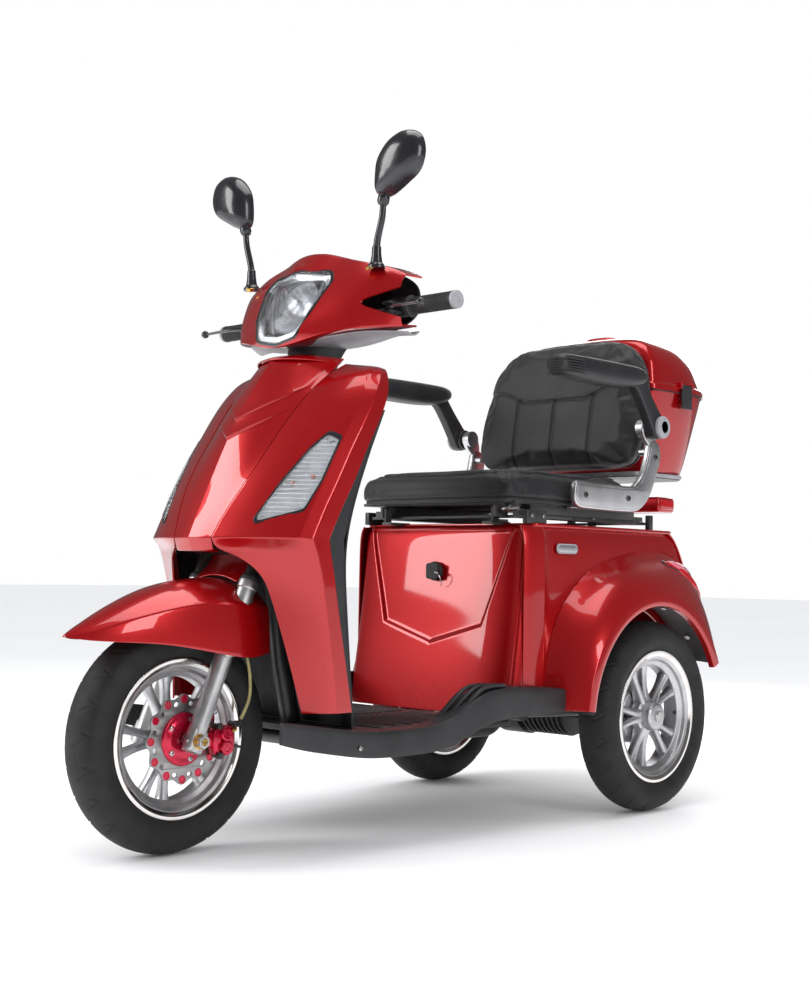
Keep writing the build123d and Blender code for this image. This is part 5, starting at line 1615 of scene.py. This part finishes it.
def deck_and_tail():
    outline = filleted([(-241, 737), (241, 737), (243, 1248), (-243, 1248)], 16, 5, closed=True)
    bay = filleted([(-150, 800), (150, 800), (150, 1120), (-150, 1120)], 18, 5, closed=True)
    notch = filleted([(-44, 1206), (44, 1206), (44, 1236), (-44, 1236)], 4, 3, closed=True)
    deck = plate([outline, bay, notch], 8, (0, 0, 603), (1, 0, 0), (0, 1, 0), 2.4)
    piece("deck_plate", deck, "seat_deck", "seat_deck")
    rows = []
    for z, y, curve in ((300, 1308, 3), (372, 1316, 3), (450, 1320, 3), (520, 1313, 4), (560, 1294, 5),
                        (590, 1272, 6), (602, 1256, 8)):
        line = [(0, y), (80, y - 0.5), (160, y - 1), (215, y - curve), (242, y - curve * 3)]
        rows.append(full_width([(x, b, z) for x, b in line]))
    tail = cage(rows, level=4, hard_rows={3: 0.5}, inner=(0, 1000, 420))

    def plate_recess(x, y, z):
        return -4.0 * min(1, max(0, (1 - max(abs(x) / 130, abs(z - 400) / 62)) * 14))

    tail = displaced(tail, plate_recess)
    piece("tail_skin", shell(tail), "tail_panel", "tail_panel")
    rest = filleted([(-110, 362), (110, 362), (110, 438), (-110, 438)], 10, 5, closed=True)
    holes = [[(s * 75 + 3.3 * cos(tau * k / 24), 400 + 3.3 * sin(tau * k / 24)) for k in range(24)]
             for s in (1, -1)]
    pad = plate([rest, *holes], 8, (0, 1320, 0), edge=1.6)
    piece("plate_rest", pad, "tail_panel", slot="black_plastic")
    for side, sign in (("left", 1), ("right", -1)):
        loop = filleted([(sign * 175 - 24, 384), (sign * 175 + 24, 384), (sign * 175 + 24, 416),
                         (sign * 175 - 24, 416)], 6, 4, closed=True)
        reflector = plate([loop], 6, (0, 1322, 0), edge=1.6)
        piece(f"tail_reflector_{side}", reflector, "tail_lights", slot="red_lens")
    bar_body = brick((-185, 185), (1276, 1344), (653, 689), 6)
    piece("brake_lamp_body", bar_body, "tail_lights", slot="red_panel")
    face = brick((-176, 176), (1338, 1346), (659, 683), 2.4)
    piece("brake_lamp_face", face, "tail_lights")
    ends = [brick(sorted((s * 178, s * 187)), (1284, 1340), (660, 683), 2.4) for s in (1, -1)]
    piece("brake_lamp_ends", merged(*ends), "tail_lights")


battery_cover()
rear_body()
deck_and_tail()


# Luggage box


def rounded_box(level_rows, hard_rows, hard_cols=None):
    """A shell over six-sided outlines given for its left half, mirrored and subdivided."""
    rows = []
    for z, half in level_rows:
        rows.append([(x, y, z) for x, y in half] + [(-x, y, z) for x, y in reversed(half)])
    return cage(rows, closed=True, hard_rows=hard_rows, hard_cols=hard_cols or {}, level=4,
                inner=(0, 1360, 900))


def luggage():
    base = [
        (748, [(60, 1244), (150, 1246), (162, 1262), (168, 1386), (150, 1424), (118, 1452), (50, 1454)]),
        (760, [(62, 1242), (154, 1243), (166, 1258), (172, 1388), (154, 1430), (122, 1460), (52, 1462)]),
        (840, [(66, 1238), (170, 1240), (182, 1256), (190, 1394), (168, 1446), (134, 1480), (58, 1483)]),
        (922, [(70, 1232), (184, 1234), (195, 1252), (204, 1400), (182, 1462), (150, 1498), (62, 1502)]),
        (937, [(70, 1231), (186, 1233), (197, 1252), (206, 1401), (184, 1464), (152, 1500), (62, 1504)]),
    ]
    lid = [
        (939, [(72, 1228), (190, 1230), (201, 1250), (210, 1402), (188, 1468), (155, 1508), (64, 1512)]),
        (952, [(72, 1227), (190, 1229), (201, 1249), (210, 1402), (188, 1468), (155, 1507), (64, 1511)]),
        (958, [(71, 1228), (186, 1230), (196, 1250), (204, 1400), (183, 1462), (150, 1496), (62, 1500)]),
        (1005, [(68, 1227), (184, 1229), (193, 1248), (196, 1392), (170, 1444), (138, 1474), (58, 1478)]),
        (1040, [(62, 1228), (168, 1232), (178, 1250), (178, 1376), (152, 1418), (120, 1442), (52, 1446)]),
        (1062, [(52, 1236), (138, 1242), (150, 1262), (150, 1356), (126, 1390), (98, 1408), (44, 1412)]),
        (1072, [(30, 1262), (86, 1270), (100, 1284), (100, 1338), (84, 1360), (66, 1372), (28, 1376)]),
    ]
    base_skin = rounded_box(base, {0: 0.4})
    piece("box_tub", shell(base_skin), "luggage_box", "luggage_box")
    bottom = filleted([(x, y) for x, y in base[0][1]] + [(-x, y) for x, y in reversed(base[0][1])], 8, 3,
                      closed=True)
    piece("box_bottom", plate([bottom], 4, (0, 0, 750), (1, 0, 0), (0, 1, 0), 1), "luggage_box")
    lid_skin = rounded_box(lid, {1: 0.8, 2: 0.6, 3: 0.35})
    bm = bmesh.new()
    bm.from_mesh(lid_skin)
    top_edges = [e for e in bm.edges if e.is_boundary and e.verts[0].co.z > 1.06]
    filled = bmesh.ops.holes_fill(bm, edges=top_edges, sides=0)["faces"]
    bmesh.ops.poke(bm, faces=filled)
    bmesh.ops.recalc_face_normals(bm, faces=bm.faces)
    lid_closed = finished(bm)
    piece("box_lid_skin", shell(lid_closed, 3), "luggage_lid", "luggage_lid")
    knob = [[(x * s, 1305 + y * s, z) for x, y in ((-44, -18), (-20, -26), (20, -26), (44, -18), (46, 12),
                                                   (24, 24), (-24, 24), (-46, 12))]
            for s, z in ((1.0, 1068), (0.98, 1076), (0.9, 1082), (0.6, 1084), (0.1, 1084.5))]
    piece("box_knob", cage(knob, closed=True, level=3, inner=(0, 1305, 1060)), "luggage_lid")
    seal = [(x, y) for x, y in base[-1][1]] + [(-x, y) for x, y in reversed(base[-1][1])]
    seal_line = smooth_loop([(x * 0.985, 1365 + (y - 1365) * 0.985, 938.4) for x, y in seal], 5)
    piece("box_seal", tube(seal_line + seal_line[:1], 2.0, 10, caps=False), "luggage_box",
          slot="grip_rubber")
    latch_loop = filleted([(1331, 900), (1373, 900), (1373, 957), (1331, 957)], 6, 4, closed=True)
    latch = plate([latch_loop], 4.4, (211.6, 0, 0), (0, 1, 0), (0, 0, 1), 1.4)
    grips = [brick((213, 215.4), (1337, 1367), (z, z + 3), 0.8) for z in (906, 912, 918)]
    piece("latch_tongue", merged(latch, *grips), "lid_latch", "lid_latch")
    ears = [brick((200, 214.5), y, (947, 963), 2) for y in ((1325.6, 1330), (1374, 1378.4))]
    pin = turned([(0, 1.9), (52, 1.9)], (211, 1326, 955), (0, 1, 0), 20)
    knuckle = turned(filleted([(0, 2.7), (0, 5.4), (28, 5.4), (28, 2.7)], 0.8), (-214, 1321, 938),
                     (0, 1, 0), 28)
    tab = brick((-212, -198), (1321.6, 1348.4), (940.6, 945), 1)
    piece("lid_ears", merged(*ears, pin, tab), "luggage_lid")
    piece("lid_knuckle", knuckle, "luggage_lid", slot="axle_steel")
    fixed = [turned(filleted([(0, 2), (0, 5.4), (20, 5.4), (20, 2)], 0.8), (-214, y, 938), (0, 1, 0), 28)
             for y in (1300, 1350)]
    fixed += [brick((-212, -190), y, (927, 933), 1.2) for y in ((1301, 1319), (1351, 1369))]
    fixed.append(turned([(0, 2.4), (70, 2.4)], (-214, 1300, 938), (0, 1, 0), 20))
    piece("box_hinge", merged(*fixed), "luggage_box", slot="axle_steel")
    border = filleted([(-165, 1217), (165, 1217), (172, 1392), (140, 1430), (-140, 1430), (-172, 1392)], 12,
                      5, closed=True)
    tray = plate([border], 12, (0, 0, 740), (1, 0, 0), (0, 1, 0), 2)
    piece("rack_tray", tray, "luggage_rack", "luggage_rack")
    edge_band = tube([(x, y, 741) for x, y in border] + [(*border[0], 741)], 3.0, 12, 1.6, caps=False)
    piece("rack_edge", edge_band, "luggage_rack", paint="grey_trim")
    posts = [tube(filleted([(s * 30, 1227, 576), (s * 30, 1227, 700), (s * 30, 1300, 733)], 26, 6), 10, 28)
             for s in (1, -1)]
    arms = [brick(sorted((s * 22, s * 38)), (1228, 1275), (665, 679), 2) for s in (1, -1)]
    foot = brick((-38, 38), (1217, 1238), (574, 588), 2)
    piece("rack_posts", merged(*posts, *arms, foot), "luggage_rack")


luggage()


# Seat


def inflated(mesh, cap, voxel=5.0, held=None, pressure=4.0):
    """A cushion blown up by cloth simulation; held(x, y, z) pins the points that rest on something."""
    even = {"mode": "VOXEL", "voxel_size": voxel / 1000, "use_smooth_shade": True}
    remeshed = shaped(mesh, ("REMESH", even))
    work = bpy.data.objects.new("work", remeshed)
    SCENE.collection.objects.link(work)
    group = work.vertex_groups.new(name="held")
    starts = [v.co.copy() for v in remeshed.vertices]
    if held:
        pinned = [v.index for v in remeshed.vertices if held(v.co.x * 1000, v.co.y * 1000 + MID_Y,
                                                             v.co.z * 1000)]
        group.add(pinned, 1.0, "REPLACE")
    cloth = work.modifiers.new("cloth", "CLOTH")
    settings = cloth.settings
    settings.quality, settings.mass = 5, 0.3
    settings.tension_stiffness = settings.compression_stiffness = settings.shear_stiffness = 12
    settings.bending_stiffness = 0.6
    settings.use_pressure, settings.uniform_pressure_force = True, pressure
    settings.effector_weights.gravity = 0
    if held:
        settings.vertex_group_mass = "held"
    for step in range(1, 21):
        SCENE.frame_set(step)
    posed = work.evaluated_get(bpy.context.evaluated_depsgraph_get()).data
    ends = [v.co.copy() for v in posed.vertices]
    for vert, start, end in zip(remeshed.vertices, starts, ends):
        move = end - start
        limit = cap / 1000
        if move.length > limit:
            move *= limit / move.length
        vert.co = start + move
    work.modifiers.clear()
    SCENE.frame_set(1)
    bpy.data.objects.remove(work)
    return remeshed


def softened(mesh, amount=0.5, turns=4):
    made = shaped(mesh, ("SMOOTH", {"factor": amount, "iterations": turns}),
                  ("SUBSURF", {"levels": 1, "render_levels": 1}))
    made.shade_smooth()
    return made


def groove(distance, depth, width):
    """The dip of a sewn seam: a narrow crease with a soft pull on each side."""
    gap = abs(distance)
    return -depth * exp(-(gap / width) ** 2) - depth * 0.45 * exp(-gap / (width * 5))


def stitches(points, tree, towards, lift=0.4, length=4.2, gap=2.6, radius=0.55):
    """A row of single stitches laid along a line on a surface."""
    spots = []
    for p in points:
        hit, normal, _, _ = tree.ray_cast(place(*p) - Vector(towards) * 0.2, Vector(towards))
        if hit is None:
            continue
        if normal.dot(Vector(towards)) > 0:
            normal = -normal
        on = hit + normal * (lift / 1000)
        spots.append(Vector((on.x * 1000, on.y * 1000 + MID_Y, on.z * 1000)))
    made, travelled = [], 0.0
    for a, b in zip(spots, spots[1:]):
        step = (b - a).length
        if step < 0.01 or step > 20:
            continue
        while travelled + length <= step:
            start = a + (b - a) * (travelled / step)
            end = a + (b - a) * ((travelled + length) / step)
            made.append(tube([start, (start + end) / 2, end], [radius * 0.6, radius, radius * 0.6], 6))
            travelled += length + gap
        travelled = max(0.0, travelled - step)
    return made


SEAT_LOOP = [(0, 666), (130, 667), (198, 677), (224, 708), (238, 780), (240, 900), (240, 1040), (232, 1076),
             (150, 1082), (0, 1083)]


def seat_outline(scale_x=1.0, inset=0.0):
    half = smooth_line(SEAT_LOOP, 4)
    cx, cy = 0, 880
    right = []
    for x, y in half:
        length = hypot(x - cx, y - cy)
        right.append((x - (x - cx) / length * inset, y - (y - cy) / length * inset))
    return right + [(-x, y) for x, y in right[-2:0:-1]]


def seat_cushion():
    rows = []
    for inset, z in ((16, 656), (6, 660), (2, 672), (1, 686), (3, 698), (12, 707), (34, 711)):
        rows.append([(x, y, z) for x, y in seat_outline(inset=inset)])
    base = grid(rows, closed=True, caps=True)
    soft = inflated(base, 9, 5.5, held=lambda x, y, z: z < 662)

    def seams(x, y, z):
        if z < 690:
            return 0
        push = 0
        for middle in (-116, 0, 116):
            if 716 < y < 1010:
                fade = min(1, (y - 716) / 20, (1010 - y) / 60)
                push += groove(x - middle, 3.4 * fade, 3.2)
        edge_x, edge_y = abs(x) / 206, (abs(y - 866) / 172)
        border = (edge_x ** 5 + edge_y ** 5) ** 0.2
        push += groove((border - 1) * 185, 3.0, 3.0)
        return push

    cushion = displaced(softened(soft), seams)
    tree = tree_of(cushion)
    seat = piece("seat_cover", cushion, "seat_cushion", "seat_cushion")
    rows_of_thread = []
    loop = []
    for k in range(181):
        t = tau * k / 180
        c, s = cos(t), sin(t)
        r = (abs(c) ** 5 + abs(s) ** 5) ** -0.2
        loop.append((r * c, r * s))
    for inset in (-5.5, 5.5):
        rows_of_thread += stitches([((206 + inset) * c, 866 + (172 + inset) * s, 760) for c, s in loop],
                                   tree, (0, 0, -1))
    for middle in (-116, 0, 116):
        for off in (-5, 5):
            rows_of_thread += stitches([(middle + off, 722 + k * 6, 760) for k in range(48)], tree,
                                       (0, 0, -1))
    piece("seat_thread", merged(*rows_of_thread), "seat_cushion", paint="thread")
    skirt = [(x, y) for x, y in seat_outline(inset=12)]
    pan = plate([skirt], 10, (0, 0, 653), (1, 0, 0), (0, 1, 0), 2)
    piece("seat_base_board", pan, "seat_cushion", slot="black_plastic")


BACK_LOOP = [(0, 742), (150, 742), (206, 752), (230, 790), (236, 850), (232, 920), (214, 986), (176, 1034),
             (120, 1056), (0, 1062)]


def back_outline(inset):
    half = smooth_line(BACK_LOOP, 4)
    right = []
    for x, z in half:
        length = hypot(x, z - 900)
        right.append((x - x / length * inset, z - (z - 900) / length * inset))
    return right + [(-x, z) for x, z in right[-2:0:-1]]


def back_lean(z):
    """How far back the front of the backrest stands at a height."""
    return 1100 + max(0, z - 800) * 0.19


def backrest():
    rows = []
    for inset, depth in ((30, 2), (12, 6), (4, 14), (1, 26), (2, 40), (10, 50), (26, 54)):
        rows.append([(x, back_lean(z) + depth, z) for x, z in back_outline(inset)])
    base = grid(rows, closed=True, caps=True)
    soft = inflated(base, 12, 5.5, held=lambda x, y, z: y > back_lean(z) + 49)

    def seam_height(x):
        across = abs(x)
        if across < 90:
            return 912
        return 912 + min(1, (across - 90) / 62) * 26 if across < 152 else 938

    def seams(x, y, z):
        if y > back_lean(z) + 26:
            return 0
        push = groove((z - seam_height(x)) * 0.95, 3.6, 3.0)
        for middle in (-108, 0, 108):
            if 752 < z < seam_height(middle) + 2:
                fade = min(1, (z - 752) / 24)
                push += groove(x - middle, 3.2 * fade, 3.2)
        return push

    cushion = displaced(softened(soft), seams)
    tree = tree_of(cushion)
    back = piece("backrest_cover", cushion, "backrest", "backrest")
    thread = []
    for off in (-5.5, 5.5):
        thread += stitches([(x, 1000, seam_height(x) + off) for x in range(-216, 217, 6)], tree, (0, 1, 0))
        for middle in (-108, 0, 108):
            thread += stitches([(middle + off, 1000, 766 + k * 6) for k in range(25)], tree, (0, 1, 0))
    piece("backrest_thread", merged(*thread), "backrest", paint="thread")
    board = [[(x, back_lean(z) + depth, z) for x, z in back_outline(inset)]
             for inset, depth in ((16, 50), (10, 54), (12, 60), (24, 64), (80, 66), (150, 67))]
    piece("backrest_board", grid(board, closed=True, caps=True), "backrest", slot="black_plastic")


BRACKET = [(842, 694), (841, 660), (856, 645), (900, 642), (1040, 642), (1082, 650), (1116, 676),
           (1140, 716), (1160, 762)]
BRACKET += [(1158, 792), (1138, 806), (1118, 798), (1108, 764), (1090, 726), (1066, 704), (1040, 698),
            (900, 699), (858, 700)]


def seat_brackets():
    loop = smooth_loop(BRACKET, 5)
    body = plate([loop], 14, (257, 0, 0), edge=3.2, **LENGTHWISE)
    centre_line = smooth_line([(856, 671), (960, 670), (1050, 672), (1090, 690), (1118, 728), (1138, 786)],
                              8)
    inner = []
    for y, z in loop:
        near = min(centre_line, key=lambda p: hypot(p[0] - y, p[1] - z))
        inner.append((near[0] + (y - near[0]) * 0.74, near[1] + (z - near[1]) * 0.74))
    raised = plate([inner], 3.2, (264.4, 0, 0), edge=1.4, **LENGTHWISE)
    boss = turned(filleted([(-14, 20), (4, 20), (8, 18), (8, 8)], 1.5), (258, 1107, 831), (1, 0, 0), 56)
    neck = plate([smooth_loop([(1112, 796), (1092, 818), (1094, 842), (1116, 850), (1134, 834), (1142, 806),
                               (1132, 790)], 4)],
                 12, (257, 0, 0), edge=2, **LENGTHWISE)
    stud = turned(filleted([(0, 8), (20, 8)], 1), (232, 1128, 780), (1, 0, 0), 28)
    pair("bracket", merged(body, raised, neck, boss, stud), "seat_brackets")
    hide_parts("seat_brackets")
    heads = [screw((265.4, y, z), (1, 0, 0), 6.4, 4) for y, z in ((874, 671), (1032, 671), (1136, 768))]
    pair("bracket_screws", merged(*heads), "seat_brackets", slot="black_steel")


def armrests():
    """Cranked arms with a moulded pad, ribbed tip and a grey cap over the pivot."""
    spine = [(1107, 831), (1092, 846), (1060, 884), (1030, 918), (1000, 928)]
    widths = [25, 24, 20, 19, 16]
    upper, lower = [], []
    for (y, z), w in zip(spine, widths):
        upper.append((y + w * 0.62, z + w * 0.62))
        lower.append((y - w * 0.72, z - w * 0.72))
    outline = smooth_loop([(1128, 818), *upper[:4], (1010, 950), (960, 946), (955, 922), *lower[:2:-1],
                           *lower[2:0:-1],
                           (1086, 812), (1107, 805)], 4)
    arm = plate([outline], 26, (286.6, 0, 0), edge=5, **LENGTHWISE)
    pad_rows = []
    for y, half, low, high in ((738, 20, 916, 944), (744, 27, 908, 951), (760, 30, 905, 954),
                               (820, 31, 904, 956),
                               (900, 31, 902, 957), (980, 31, 904, 957), (1026, 29, 912, 956),
                               (1044, 22, 924, 950)):
        ring = [(-1, 0.25), (-0.92, 0.75), (-0.6, 1), (0.6, 1), (0.92, 0.75), (1, 0.25), (0.9, -0.1),
                (0.55, -0.3), (-0.55, -0.3), (-0.9, -0.1)]
        mid = (low + high) / 2
        pad_rows.append([(283 + a * half, y, mid + (b - 0.35) / 1.3 * (high - low)) for a, b in ring])
    pad = cage(pad_rows, closed=True, level=3, inner=(283, 880, 930))
    bm = bmesh.new()
    bm.from_mesh(pad)
    bmesh.ops.holes_fill(bm, edges=[e for e in bm.edges if e.is_boundary], sides=0)
    bmesh.ops.recalc_face_normals(bm, faces=bm.faces)
    pad = finished(bm)
    ribs = []
    for k in range(6):
        z = 914 + k * 5.4
        ribs.append(tube(smooth_line([(314.4, 800, z), (314.6, 762, z), (304, 742, z), (283, 737.5, z),
                                      (262, 742, z), (251.6, 762, z), (251.4, 800, z)], 4), 1.5, 8))
    cap = turned(filleted([(0, 24.6), (6, 24.6), (9, 22), (10, 16), (8.6, 13), (8.6, 2)], 1.6),
                 (300, 1107, 831), (1, 0, 0), 64)
    ring = turned(filleted([(0, 17), (1.6, 16), (1.6, 14), (0, 13)], 0.5), (309, 1107, 831), (1, 0, 0), 56)
    eye = turned(filleted([(-19, 6.4), (-19, 24), (14, 24), (14, 6.4)], 2), (286.5, 1107, 831), (1, 0, 0),
                 56)
    for side, flip in (("left", lambda m: m), ("right", mirrored)):
        node = f"armrest_{side}"
        piece(f"armrest_arm_{side}", flip(merged(arm, eye)), node, node)
        padding = piece(f"armrest_pad_{side}", flip(merged(pad, *ribs)), node)
        piece(f"armrest_cap_{side}", flip(merged(cap, ring)), node, paint="grey_trim")


def rails():
    """Slide lips, runners, bright strips, bolts and hinge details on the seat's carrier."""
    lips = [brick(sorted((s * 216, s * 219)), (900, 1176), (619, 623), 0.8) for s in (1, -1)]
    piece("rail_lips", merged(*lips), "seat_frame", slot="black_steel")
    bolts = [screw((s * 210, y, 624), (0, 0, 1), 5, 3) for s in (1, -1) for y in (752, 980, 1164)]
    piece("rail_bolts", merged(*bolts), "seat_frame", slot="axle_steel")
    plates = [brick(sorted((s * 219, s * 232)), (720, 786), (606, 634), 2) for s in (1, -1)]
    plates += [brick(sorted((s * 219, s * 232)), (1168, 1182), (606, 640), 2) for s in (1, -1)]
    piece("rail_feet", merged(*plates), "hinge_mount", slot="black_steel")
    foot_bolts = [hexagon((s * 232, y, 622), (s, 0, 0), 9, 4) for s in (1, -1) for y in (734, 772)]
    piece("rail_foot_bolts", merged(*foot_bolts), "hinge_mount", slot="axle_steel")
    runners = [brick(sorted((s * 218, s * 226)), (864, 1090), (641, 651), 1.4) for s in (1, -1)]
    piece("pan_runners", merged(*runners), "seat_pan", slot="black_steel")
    bright = [brick(sorted((s * 226, s * 229)), (872, 1040), (644, 648), 0.8) for s in (1, -1)]
    piece("pan_strips", merged(*bright), "seat_pan", slot="axle_steel")


def seat_lever():
    handle = tube(smooth_line([(195, 706, 637), (195, 690, 635), (200, 684, 635), (216, 684, 635),
                               (236, 684, 635)], 6), 4, 20)
    eye = turned(filleted([(-3, 3.1), (-3, 7), (3, 7), (3, 3.1)], 0.6), (195, 706, 637), (1, 0, 0), 32)
    piece("lever_handle", merged(handle, eye), "seat_lever", "seat_lever")


seat_cushion()
backrest()
seat_brackets()
armrests()
rails()
seat_lever()
